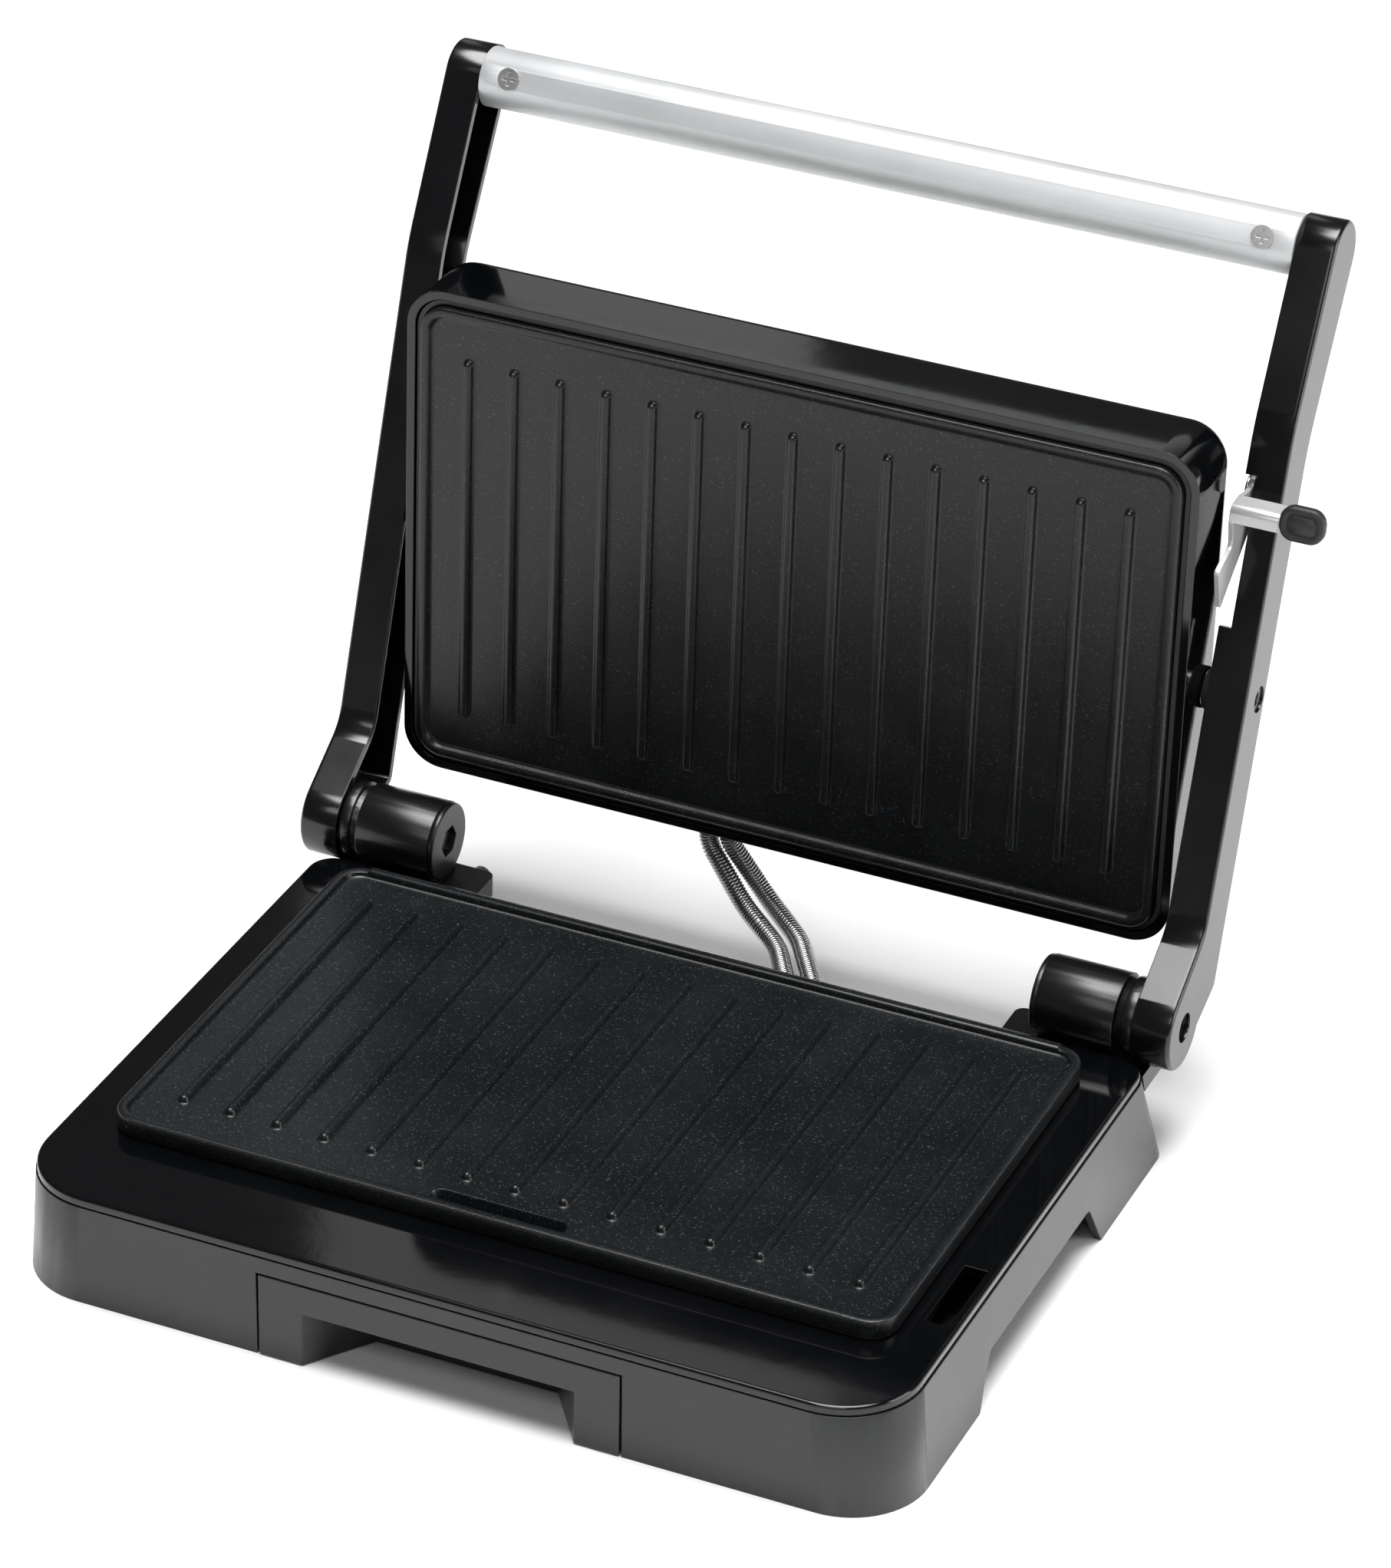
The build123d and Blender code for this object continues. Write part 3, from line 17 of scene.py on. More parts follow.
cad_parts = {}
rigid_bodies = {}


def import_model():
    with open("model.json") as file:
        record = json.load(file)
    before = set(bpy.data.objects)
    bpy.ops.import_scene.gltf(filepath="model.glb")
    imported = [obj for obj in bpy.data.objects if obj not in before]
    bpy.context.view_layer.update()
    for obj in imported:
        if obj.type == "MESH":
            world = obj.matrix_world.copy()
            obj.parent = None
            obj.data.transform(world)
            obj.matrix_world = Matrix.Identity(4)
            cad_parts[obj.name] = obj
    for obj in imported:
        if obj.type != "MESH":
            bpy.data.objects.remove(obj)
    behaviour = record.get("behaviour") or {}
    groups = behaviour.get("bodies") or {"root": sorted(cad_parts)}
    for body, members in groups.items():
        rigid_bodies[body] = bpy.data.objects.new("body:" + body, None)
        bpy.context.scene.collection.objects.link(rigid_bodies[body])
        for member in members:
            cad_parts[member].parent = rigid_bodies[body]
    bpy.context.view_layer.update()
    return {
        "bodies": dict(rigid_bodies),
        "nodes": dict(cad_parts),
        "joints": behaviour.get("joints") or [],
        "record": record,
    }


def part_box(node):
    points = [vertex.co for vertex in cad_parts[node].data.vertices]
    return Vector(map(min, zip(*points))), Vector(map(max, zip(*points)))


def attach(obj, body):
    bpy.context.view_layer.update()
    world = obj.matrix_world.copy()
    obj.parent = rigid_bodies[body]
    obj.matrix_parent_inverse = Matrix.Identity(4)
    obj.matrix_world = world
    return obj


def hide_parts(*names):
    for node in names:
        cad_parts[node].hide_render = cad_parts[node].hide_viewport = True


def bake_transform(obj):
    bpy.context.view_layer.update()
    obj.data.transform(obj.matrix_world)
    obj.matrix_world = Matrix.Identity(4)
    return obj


LOG = logging.getLogger("contact_grill")
MM = 0.001

Colour = tuple[float, float, float]
Point2 = tuple[float, float]
Span = tuple[float, float]

NOISE_ROUGHNESS = 0.55
CLOUD_LAYERS = 4.0
GRAIN_LAYERS = 3.0
FLECK_LAYERS = 1.0
CLOUD_SPREAD: Span = (0.35, 0.65)
GLOSS_SPREAD: Span = (0.3, 0.7)
# Where the edge mask turns on: it lays a painted highlight along rounded edges.
EDGE_HIGHLIGHT_TURN: Span = (0.98, 0.80)
EDGE_SAMPLES = 4


# ---------------------------------------------------------------- finishes
class Grain(Enum):
    """How the fine relief of a surface runs."""

    MOULDED = (1.0, 1.0, 1.0)
    DRAWN_ALONG_X = (0.03, 1.0, 1.0)


class NodeSheet:
    """A material's node tree, with short calls for adding and joining nodes."""

    def __init__(self, material: bpy.types.Material) -> None:
        """Empty the material's tree.

        Args:
            material: The material whose nodes are laid out.
        """
        material.use_nodes = True
        self.tree = material.node_tree
        self.tree.nodes.clear()

    def add(self, kind: str, **values: object) -> bpy.types.Node:
        """Add a node and set its sockets by name.

        Args:
            kind: Blender's name of the node type.
            values: Socket names, with underscores for spaces, and their values.

        Returns:
            The new node.
        """
        node = self.tree.nodes.new(kind)
        for socket, value in values.items():
            node.inputs[socket.replace("_", " ")].default_value = value
        return node

    def join(self, source: bpy.types.NodeSocket, target: bpy.types.NodeSocket) -> None:
        """Link one node's output to another's input."""
        self.tree.links.new(source, target)

    def noise(
        self, place: bpy.types.NodeSocket, size: float, detail: float
    ) -> bpy.types.NodeSocket:
        """Add a noise pattern.

        Args:
            place: Where the pattern is read.
            size: Length of one patch in metres.
            detail: Number of finer layers.

        Returns:
            The pattern's strength, from 0 to 1.
        """
        node = self.add(
            "ShaderNodeTexNoise", Scale=1.0 / size, Detail=detail, Roughness=NOISE_ROUGHNESS
        )
        self.join(place, node.inputs["Vector"])
        return node.outputs["Fac"]

    def ramp(
        self, source: bpy.types.NodeSocket, inside: Span, outside: Span
    ) -> bpy.types.NodeSocket:
        """Stretch one range of a value over another.

        Args:
            source: The value.
            inside: Lowest and highest value that comes in.
            outside: The values that they become.

        Returns:
            The stretched and clamped value.
        """
        node = self.add("ShaderNodeMapRange")
        node.clamp = True
        node.inputs["From Min"].default_value, node.inputs["From Max"].default_value = inside
        node.inputs["To Min"].default_value, node.inputs["To Max"].default_value = outside
        self.join(source, node.inputs["Value"])
        return node.outputs["Result"]

    def blend_colours(
        self,
        share: bpy.types.NodeSocket,
        first: Colour | bpy.types.NodeSocket,
        second: Colour,
    ) -> bpy.types.NodeSocket:
        """Mix two colours.

        Args:
            share: How much of the second colour shows.
            first: A colour, or the output of another mix.
            second: The colour mixed in.

        Returns:
            The mixed colour.
        """
        node = self.tree.nodes.new("ShaderNodeMix")
        node.data_type = "RGBA"
        low, high = (s for s in node.inputs if s.type == "RGBA")
        self.join(share, node.inputs[0])
        if isinstance(first, tuple):
            low.default_value = (*first, 1.0)
        else:
            self.join(first, low)
        high.default_value = (*second, 1.0)
        return next(s for s in node.outputs if s.type == "RGBA")


@dataclass(frozen=True)
class Finish:
    """One surface finish: its colours, gloss and relief at their real sizes, and a painted
    highlight along its edges.
    """

    name: str
    colour: Colour
    cloud_colour: Colour
    roughness: Span
    grain: Grain = Grain.MOULDED
    grain_size: float = 0.5 * MM
    grain_depth: float = 0.01 * MM
    cloud_size: float = 30 * MM
    fleck_colour: Colour | None = None
    fleck_size: float = 0.6 * MM
    fleck_limit: Span = (0.64, 0.72)
    edge_radius: float = 0.35 * MM
    # Painted highlight along edges: its colour, and how much of it shows.
    edge_highlight_colour: Colour = (0.05, 0.05, 0.052)
    edge_highlight_share: float = 0.25
    metallic: float = 0.0
    ior: float = 1.5

    def material(self) -> bpy.types.Material:
        """Build this finish, or return it if it is already there.

        Returns:
            The finished material.
        """
        known = bpy.data.materials.get(self.name)
        if known:
            return known
        material = bpy.data.materials.new(self.name)
        sheet = NodeSheet(material)
        place = sheet.add("ShaderNodeTexCoord").outputs["Object"]
        stretch = sheet.add("ShaderNodeMapping")
        stretch.inputs["Scale"].default_value = self.grain.value
        sheet.join(place, stretch.inputs["Vector"])
        along = stretch.outputs["Vector"]

        cloud = sheet.noise(place, self.cloud_size, CLOUD_LAYERS)
        fine = sheet.noise(along, self.grain_size, GRAIN_LAYERS)
        colour = sheet.blend_colours(
            sheet.ramp(cloud, CLOUD_SPREAD, (0.0, 1.0)), self.colour, self.cloud_colour
        )
        if self.fleck_colour:
            flecks = sheet.noise(place, self.fleck_size, FLECK_LAYERS)
            colour = sheet.blend_colours(
                sheet.ramp(flecks, self.fleck_limit, (0.0, 1.0)), colour, self.fleck_colour
            )

        bump = sheet.add("ShaderNodeBump", Strength=1.0, Distance=self.grain_depth)
        sheet.join(fine, bump.inputs["Height"])
        if self.edge_radius:
            rounded = sheet.add("ShaderNodeBevel", Radius=self.edge_radius)
            rounded.samples = EDGE_SAMPLES
            flat = sheet.add("ShaderNodeNewGeometry").outputs["Normal"]
            likeness = sheet.tree.nodes.new("ShaderNodeVectorMath")
            likeness.operation = "DOT_PRODUCT"
            sheet.join(rounded.outputs["Normal"], likeness.inputs[0])
            sheet.join(flat, likeness.inputs[1])
            # Painted highlight: lighten the colour towards the edge colour where the rounded normal
            # turns away from the flat one.
            edge = sheet.ramp(likeness.outputs["Value"], EDGE_HIGHLIGHT_TURN, (0.0, self.edge_highlight_share))
            colour = sheet.blend_colours(edge, colour, self.edge_highlight_colour)
            sheet.join(rounded.outputs["Normal"], bump.inputs["Normal"])

        skin = sheet.add("ShaderNodeBsdfPrincipled", Metallic=self.metallic, IOR=self.ior)
        sheet.join(colour, skin.inputs["Base Color"])
        gloss = sheet.ramp(cloud, GLOSS_SPREAD, self.roughness)
        sheet.join(gloss, skin.inputs["Roughness"])
        sheet.join(bump.outputs["Normal"], skin.inputs["Normal"])
        sheet.join(skin.outputs["BSDF"], sheet.add("ShaderNodeOutputMaterial").inputs["Surface"])
        return material


# Each finish's edge colour is a painted highlight along its edges, lighter than the finish's own
# colour.
FINISHES: dict[str, Finish] = {
    "deck_black": Finish(
        "gloss_black_moulding",
        (0.0014, 0.0016, 0.0020),
        (0.0020, 0.0022, 0.0026),
        (0.05, 0.08),
        grain_size=6 * MM,
        grain_depth=0.008 * MM,
        edge_highlight_share=0.12,
        edge_radius=0.5 * MM,
    ),
    "housing_grey": Finish(
        "satin_anthracite_moulding",
        (0.0105, 0.0116, 0.0128),
        (0.0130, 0.0142, 0.0154),
        (0.25, 0.31),
        grain_size=0.35 * MM,
        grain_depth=0.012 * MM,
        edge_highlight_colour=(0.06, 0.062, 0.065),
        edge_radius=0.5 * MM,
        ior=1.48,
    ),
    "grill_nonstick": Finish(
        "speckled_nonstick_coating",
        (0.0042, 0.0049, 0.0056),
        (0.0060, 0.0068, 0.0076),
        (0.27, 0.34),
        grain_size=0.45 * MM,
        grain_depth=0.03 * MM,
        fleck_colour=(0.042, 0.045, 0.050),
        edge_highlight_share=0.15,
        edge_radius=0.3 * MM,
        ior=1.43,
    ),
    "arm_black": Finish(
        "semi_gloss_black_arm",
        (0.0020, 0.0023, 0.0028),
        (0.0028, 0.0031, 0.0036),
        (0.16, 0.22),
        grain_size=0.5 * MM,
        grain_depth=0.004 * MM,
        ior=1.55,
        edge_radius=0.5 * MM,
        edge_highlight_share=0.15,
    ),
    "hinge_black": Finish(
        "grained_black_barrel",
        (0.0026, 0.0029, 0.0034),
        (0.0038, 0.0041, 0.0047),
        (0.26, 0.33),
        grain_size=0.35 * MM,
        grain_depth=0.022 * MM,
        edge_radius=0.4 * MM,
    ),
    "handle_aluminium": Finish(
        "satin_anodised_bar",
        (0.62, 0.63, 0.64),
        (0.67, 0.68, 0.69),
        (0.54, 0.60),
        grain=Grain.DRAWN_ALONG_X,
        grain_size=0.18 * MM,
        grain_depth=0.006 * MM,
        edge_highlight_colour=(0.9, 0.9, 0.9),
        metallic=0.75,
        edge_radius=0.25 * MM,
    ),
    "steel_bright": Finish(
        "bright_steel_fixing",
        (0.60, 0.60, 0.61),
        (0.68, 0.68, 0.69),
        (0.36, 0.44),
        grain_size=0.3 * MM,
        metallic=1.0,
        edge_highlight_colour=(0.85, 0.85, 0.85),
        edge_radius=0.2 * MM,
    ),
    "latch_steel": Finish(
        "pale_plated_steel",
        (0.50, 0.50, 0.50),
        (0.56, 0.56, 0.56),
        (0.34, 0.42),
        grain_size=0.4 * MM,
        grain_depth=0.004 * MM,
        metallic=0.55,
        edge_highlight_colour=(0.85, 0.85, 0.85),
        edge_radius=0.25 * MM,
    ),
    "tab_black": Finish(
        "dark_rubbery_grip",
        (0.009, 0.010, 0.011),
        (0.012, 0.013, 0.014),
        (0.46, 0.56),
        grain_size=0.4 * MM,
        grain_depth=0.02 * MM,
        edge_highlight_colour=(0.08, 0.08, 0.08),
    ),
    "spring_steel": Finish(
        "close_wound_steel_sheath",
        (0.34, 0.34, 0.35),
        (0.44, 0.44, 0.45),
        (0.20, 0.28),
        grain_size=0.2 * MM,
        grain_depth=0.004 * MM,
        metallic=1.0,
        edge_radius=0.0,
    ),
    "rubber_black": Finish(
        "matt_black_rubber",
        (0.012, 0.012, 0.012),
        (0.018, 0.018, 0.018),
        (0.70, 0.82),
        grain_size=0.6 * MM,
        grain_depth=0.03 * MM,
    ),
    "inner_plastic": Finish(
        "charcoal_inner_moulding",
        (0.014, 0.014, 0.015),
        (0.018, 0.018, 0.019),
        (0.45, 0.55),
        grain_size=0.5 * MM,
        grain_depth=0.015 * MM,
    ),
    "sheet_metal": Finish(
        "rolled_sheet_steel",
        (0.50, 0.50, 0.50),
        (0.58, 0.58, 0.58),
        (0.28, 0.40),
        grain=Grain.DRAWN_ALONG_X,
        grain_size=0.3 * MM,
        metallic=1.0,
        edge_highlight_colour=(0.8, 0.8, 0.8),
        edge_radius=0.15 * MM,
    ),
    "element_metal": Finish(
        "heat_tinted_element",
        (0.26, 0.22, 0.19),
        (0.38, 0.33, 0.28),
        (0.35, 0.50),
        grain_size=0.4 * MM,
        metallic=1.0,
        edge_highlight_colour=(0.5, 0.5, 0.5),
    ),
    "ceramic": Finish(
        "white_ceramic",
        (0.70, 0.69, 0.65),
        (0.76, 0.75, 0.72),
        (0.30, 0.40),
        grain_size=0.6 * MM,
        edge_highlight_colour=(0.8, 0.8, 0.78),
    ),
    "copper_pin": Finish(
        "turned_steel_pin",
        (0.30, 0.30, 0.31),
        (0.38, 0.38, 0.39),
        (0.25, 0.35),
        grain_size=0.3 * MM,
        metallic=1.0,
        edge_highlight_colour=(0.7, 0.7, 0.7),
        edge_radius=0.15 * MM,
    ),
}


# ---------------------------------------------------------------- mesh work
def rounded_outline(half_x: float, half_y: float, corner: float, steps: int) -> list[Point2]:
    """Outline of a rectangle with round corners, counter-clockwise.

    Args:
        half_x: Half the width.
        half_y: Half the depth.
        corner: Corner radius, at most the smaller half.
        steps: Points in each corner.

    Returns:
        The outline's points.
    """
    points = []
    for quarter, (sx, sy) in enumerate(((1, 1), (-1, 1), (-1, -1), (1, -1))):
        for step in range(steps):
            turn = (quarter + step / (steps - 1)) * math.pi / 2
            points.append(
                (
                    sx * (half_x - corner) + corner * math.cos(turn),
                    sy * (half_y - corner) + corner * math.sin(turn),
                )
            )
    return points


class Maker:
    """Collects faces in a bmesh and turns them into a piece of the model."""

    def __init__(self, place: Matrix) -> None:
        """Start an empty mesh.

        Args:
            place: Matrix from the piece's own axes to the frame.
        """
        self.place = place
        self.mesh = bmesh.new()

    def ring(self, outline: list[Point2], height: float) -> list[bmesh.types.BMVert]:
        """Add the points of one level outline."""
        return [self.mesh.verts.new(self.place @ Vector((x, y, height))) for x, y in outline]

    def skin(self, rings: list[list[bmesh.types.BMVert]], closed: bool = True) -> None:
        """Cover neighbouring rings with faces, and cap the first and the last.

        Args:
            rings: Rings with the same number of points.
            closed: Whether the two ends are capped.
        """
        for low, high in zip(rings, rings[1:]):
            count = len(low)
            for i in range(count):
                j = (i + 1) % count
                self.mesh.faces.new((low[i], low[j], high[j], high[i]))
        if closed:
            self.mesh.faces.new(list(reversed(rings[0])))
            self.mesh.faces.new(rings[-1])

    def piece(self, name: str, finish: Finish, smooth_angle: float = 35.0) -> bpy.types.Object:
        """Finish the mesh as an object.

        Args:
            name: The piece's name.
            finish: Its surface.
            smooth_angle: Edges sharper than this many degrees stay crisp.

        Returns:
            The object, at the frame's origin.
        """
        bmesh.ops.recalc_face_normals(self.mesh, faces=self.mesh.faces)
        limit = math.radians(smooth_angle)
        for face in self.mesh.faces:
            face.smooth = True
        for edge in self.mesh.edges:
            if len(edge.link_faces) == 2 and edge.calc_face_angle() > limit:
                edge.smooth = False
        data = bpy.data.meshes.new(name)
        self.mesh.to_mesh(data)
        self.mesh.free()
        data.materials.append(finish.material())
        made = bpy.data.objects.new(name, data)
        bpy.context.scene.collection.objects.link(made)
        return made


@dataclass
class Workshop:
    """Shared means of every sub-assembly: the frame, its slots and the rounding of edges."""

    frame: dict
    seam_reach: float = 0.002 * MM
    rounding_steps: int = 2
    sharp_angle: float = 40.0
    slots: dict[str, str] = field(init=False)

    def __post_init__(self) -> None:
        """Read which material slot each node has."""
        self.slots = {
            part["node"]: part["material_slot"] for part in self.frame["record"]["subparts"]
        }

    def joint_place(self, name: str) -> Vector:
        """Where a joint's axis lies, in metres."""
        return Vector(next(j["pos_m"] for j in self.frame["joints"] if j["name"] == name))

    def dress(self, node: str, rounding: float = 0.0) -> None:
        """Give a node of the frame its finish.

        Args:
            node: The node's name.
            rounding: Width of the bevel on its sharp edges, or 0 for none.
        """
        thing = self.frame["nodes"][node]
        material = FINISHES[self.slots[node]].material()
        for slot in thing.material_slots:
            slot.link = "OBJECT"
            slot.material = material
        if rounding:
            weld = thing.modifiers.new("join_seams", "WELD")
            weld.merge_threshold = self.seam_reach
            bevel = thing.modifiers.new("soft_edges", "BEVEL")
            bevel.width = rounding
            bevel.segments = self.rounding_steps
            bevel.limit_method = "ANGLE"
            bevel.angle_limit = math.radians(self.sharp_angle)
            bevel.harden_normals = True
        LOG.info("dressed %s as %s", node, material.name)

    def add(self, piece: bpy.types.Object, slot: str, body: str, *nodes: str) -> None:
        """Fit a new piece to a body in place of some nodes.

        Args:
            piece: The new piece.
            slot: The record's material slot of its finish; not used.
            body: The body that it moves with.
            nodes: The nodes that it stands for.
        """
        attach(piece, body)
        if nodes:
            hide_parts(*nodes)
        LOG.info("built %s on %s", piece.name, body)


# ---------------------------------------------------------------- grill plates
@dataclass
class GrillPlate:
    """A cast plate with a raised rim and tapered ribs with round tops and soft feet."""

    shop: Workshop
    node: str
    body: str
    place: Matrix
    drained: bool
    half_length: float = 115.0 * MM
    half_depth: float = 72.5 * MM
    corner: float = 8.0 * MM
    thickness: float = 9.8 * MM
    flange: float = 4.3 * MM
    body_inset: float = 4.0 * MM
    rim_width: float = 3.0 * MM
    rim_height: float = 1.5 * MM
    back_rim_height: float = 2.3 * MM
    rib_count: int = 15
    rib_pitch: float = 14.3 * MM
    rib_half_length: float = 57.25 * MM
    rib_half_width: float = 1.5 * MM
    drain_half_length: float = 19.8 * MM
    drain_half_width: float = 3.0 * MM
    corner_steps: int = 9
    least_corner: float = 1.2 * MM
    smooth_angle: float = 50.0

    def build(self) -> bpy.types.Object:
        """Model the plate and fit it.

        Returns:
            The plate.
        """
        maker = Maker(self.place)
        self._tray(maker)
        if self.drained:
            maker = self._cut_drain(maker)
            self._back_rim(maker)
        for number in range(self.rib_count):
            self._rib(maker, (number - (self.rib_count - 1) / 2) * self.rib_pitch)
        plate = maker.piece(f"{self.node}_cast", FINISHES["grill_nonstick"], self.smooth_angle)
        self.shop.add(plate, "grill_nonstick", self.body, self.node)
        return plate

    def _outline(self, inset: float) -> list[Point2]:
        """Outline of the plate, drawn in by `inset`."""
        corner = max(self.corner - inset, self.least_corner)
        return rounded_outline(
            self.half_length - inset, self.half_depth - inset, corner, self.corner_steps
        )

    def _tray(self, maker: Maker) -> None:
        """Add the body, the flange, the rim with its round crest, and the floor."""
        crest = 0.7 * MM
        foot = 0.5 * MM
        lip = 0.5 * MM
        nip = 0.15 * MM
        inner = self.rim_width
        profile = [
            (self.body_inset, -self.thickness),
            (self.body_inset, -self.flange),
            (lip, -self.flange),
            (nip, -self.flange + nip),
            (0.0, -self.flange + lip),
            (0.0, self.rim_height - crest),
            (0.3 * crest, self.rim_height - 0.3 * crest),
            (crest, self.rim_height),
            (inner - crest, self.rim_height),
            (inner - 0.3 * crest, self.rim_height - 0.3 * crest),
            (inner, self.rim_height - crest),
            (inner + nip, foot * 0.6),
            (inner + foot, 0.1 * MM),
            (inner + 2 * foot, 0.0),
            (inner + 3 * foot, 0.0),
        ]
        maker.skin([maker.ring(self._outline(inset), z) for inset, z in profile])

    def _rib(self, maker: Maker, x: float) -> None:
        """Add one rib: a soft foot, a slightly tapered flank and a round crest."""
        profile = [
            (0.75, -0.12),
            (0.45, 0.02),
            (0.20, 0.16),
            (0.02, 0.45),
            (-0.12, 0.95),
            (-0.32, 1.40),
            (-0.62, 1.72),
            (-0.98, 1.87),
            (-1.30, 1.90),
        ]
        rings = []
        for grow, height in profile:
            half_width = self.rib_half_width + grow * MM
            outline = rounded_outline(
                half_width, self.rib_half_length + grow * MM, half_width * 0.999, 7
            )
            rings.append(maker.ring([(x + px, py) for px, py in outline], height * MM))
        maker.skin(rings)

    def _back_rim(self, maker: Maker) -> None:
        """Add the higher rim along the hinge side."""
        half_x = self.half_length - self.corner
        middle = self.half_depth - self.rim_width / 2
        profile = ((0.0, 0.0), (0.0, 1.6), (0.2, 2.0), (0.5, 2.2), (0.9, 2.3))
        end_corner, end_steps = 0.5 * MM, 3
        rings = []
        for inset, height in profile:
            outline = rounded_outline(
                half_x - inset * MM, self.rim_width / 2 - inset * MM, end_corner, end_steps
            )
            rings.append(maker.ring([(px, middle + py) for px, py in outline], height * MM))
        maker.skin(rings)

    def _cut_drain(self, tray: Maker) -> Maker:
        """Cut the drain slot through the plate behind its front rim.

        Args:
            tray: The plate's mesh, without ribs.

        Returns:
            The mesh with its slot.
        """
        middle = -self.half_depth + self.rim_width + self.drain_half_width
        reach = self.drain_half_length
        cutter = Maker(self.place)
        flare, half_flare = 0.7 * MM, 0.5 * MM
        rings = []
        profile = ((0.0, -2 * self.thickness), (0.0, -half_flare), (flare, half_flare))
        for grow, height in profile:
            half_width = self.drain_half_width + grow
            outline = rounded_outline(reach + grow, half_width, half_width * 0.99, 8)
            rings.append(cutter.ring([(px, middle + py) for px, py in outline], height))
        cutter.skin(rings)
        finish = FINISHES["grill_nonstick"]
        body, tool = tray.piece("uncut_tray", finish), cutter.piece("drain_cutter", finish)
        cut = body.modifiers.new("drain", "BOOLEAN")
        cut.operation = "DIFFERENCE"
        cut.solver = "EXACT"
        cut.object = tool
        bpy.context.view_layer.update()
        graph = bpy.context.evaluated_depsgraph_get()
        final = bpy.data.meshes.new_from_object(body.evaluated_get(graph))
        slotted = Maker(self.place)
        slotted.mesh.from_mesh(final)
        for leftover in (body, tool):
            bpy.data.objects.remove(leftover)
        return slotted


# ---------------------------------------------------------------- base
@dataclass
class BaseUnit:
    """Deck, housing, bottom cover, feet and everything inside them."""

    shop: Workshop
    rounding: dict[str, float] = field(
        default_factory=lambda: {
            "base_deck": 0.0,
            "base_housing": 0.3 * MM,
            "bottom_cover": 0.0,
            "rubber_feet": 0.5 * MM,
            "cover_screws": 0.15 * MM,
            "terminal_block": 0.2 * MM,
            "lower_heating_element": 0.0,
            "lower_heat_reflector": 0.0,
            "lower_thermostat": 0.15 * MM,
            "lower_plate_screws": 0.0,
            "conduit_gland": 0.5 * MM,
        }
    )

    def build(self) -> None:
        """Dress the base's nodes and build its grill plate."""
        for node, rounding in self.rounding.items():
            self.shop.dress(node, rounding)
        low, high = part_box("lower_grill_plate")
        back_rim = GrillPlate.back_rim_height
        place = Matrix.Translation((0.0, (low.y + high.y) / 2, high.z - back_rim))
        GrillPlate(self.shop, "lower_grill_plate", "base", place, drained=True).build()


@dataclass
class DripTray:
    """The slide-out pan and its front panel."""

    shop: Workshop
    rounding: float = 0.3 * MM

    def build(self) -> None:
        """Dress the tray's nodes."""
        for node in ("drip_tray_front", "drip_tray_pan"):
            self.shop.dress(node, self.rounding)


# ---------------------------------------------------------------- hinges and arms
@dataclass
class HingePair:
    """The two barrels with their brackets, caps, springs, bolts and collars."""

    shop: Workshop
    parts: tuple[tuple[str, float], ...] = (
        ("hinge_bracket", 0.4 * MM),
        ("hinge_cap", 0.2 * MM),
        ("hinge_collar", 0.25 * MM),
        ("hinge_bolt", 0.2 * MM),
        ("hinge_spring", 0.0),
        ("bracket_screws", 0.15 * MM),
    )

    def build(self) -> None:
        """Dress both hinges."""
        for side in ("left", "right"):
            for part, rounding in self.parts:
                self.shop.dress(f"{part}_{side}", rounding)


@dataclass
class SwingArms:
    """Arms, handle bar, its plugs and screws, and the lid pivots."""

    shop: Workshop

    def build(self) -> None:
        """Dress the arms and all that moves with them."""
        for side in ("left", "right"):
            self.shop.dress(f"arm_{side}", 0.25 * MM)
            self.shop.dress(f"handle_plug_{side}")
            self.shop.dress(f"pivot_pin_{side}", 0.15 * MM)
            self.shop.dress(f"pivot_spacer_{side}", 0.3 * MM)
        self.shop.dress("handle_bar", 0.15 * MM)
        self.shop.dress("handle_screws", 0.12 * MM)
        self.shop.dress("latch_pin", 0.15 * MM)


# ---------------------------------------------------------------- lid
@dataclass
class FloatingLid:
    """The lid shell with its bezel, grill plate, heater and bushes."""

    shop: Workshop
    lean: float = 91.4
    centre_y: float = -2.1 * MM
    floor_z: float = -18.6 * MM
    rounding: dict[str, float] = field(
        default_factory=lambda: {
            "lid_shell": 0.0,
            "lid_bezel": 0.3 * MM,
            "upper_heating_element": 0.0,
            "upper_heat_reflector": 0.0,
            "upper_thermostat": 0.15 * MM,
            "upper_plate_screws": 0.0,
            "thermal_fuse": 0.2 * MM,
            "lid_conduit_bush": 0.4 * MM,
            "lid_pivot_bush_left": 0.15 * MM,
            "lid_pivot_bush_right": 0.15 * MM,
        }
    )

    def plate_place(self) -> Matrix:
        """Axes of the upper plate: x right, y up the open lid and z out of its ribs.

        Returns:
            Matrix from the plate's axes to the frame.
        """
        turn = math.radians(self.lean)
        back = Vector((0.0, math.sin(turn), math.cos(turn)))
        across = Vector((1.0, 0.0, 0.0))
        down = back.cross(across)
        origin = self.shop.joint_place("lid_tilt") + self.centre_y * down + self.floor_z * back
        axes = Matrix((across, -down, -back)).transposed().to_4x4()
        return Matrix.Translation(origin) @ axes

    def build(self) -> None:
        """Dress the lid's nodes and build its grill plate."""
        for node, rounding in self.rounding.items():
            self.shop.dress(node, rounding)
        GrillPlate(
            self.shop, "upper_grill_plate", "lid", self.plate_place(), drained=False
        ).build()


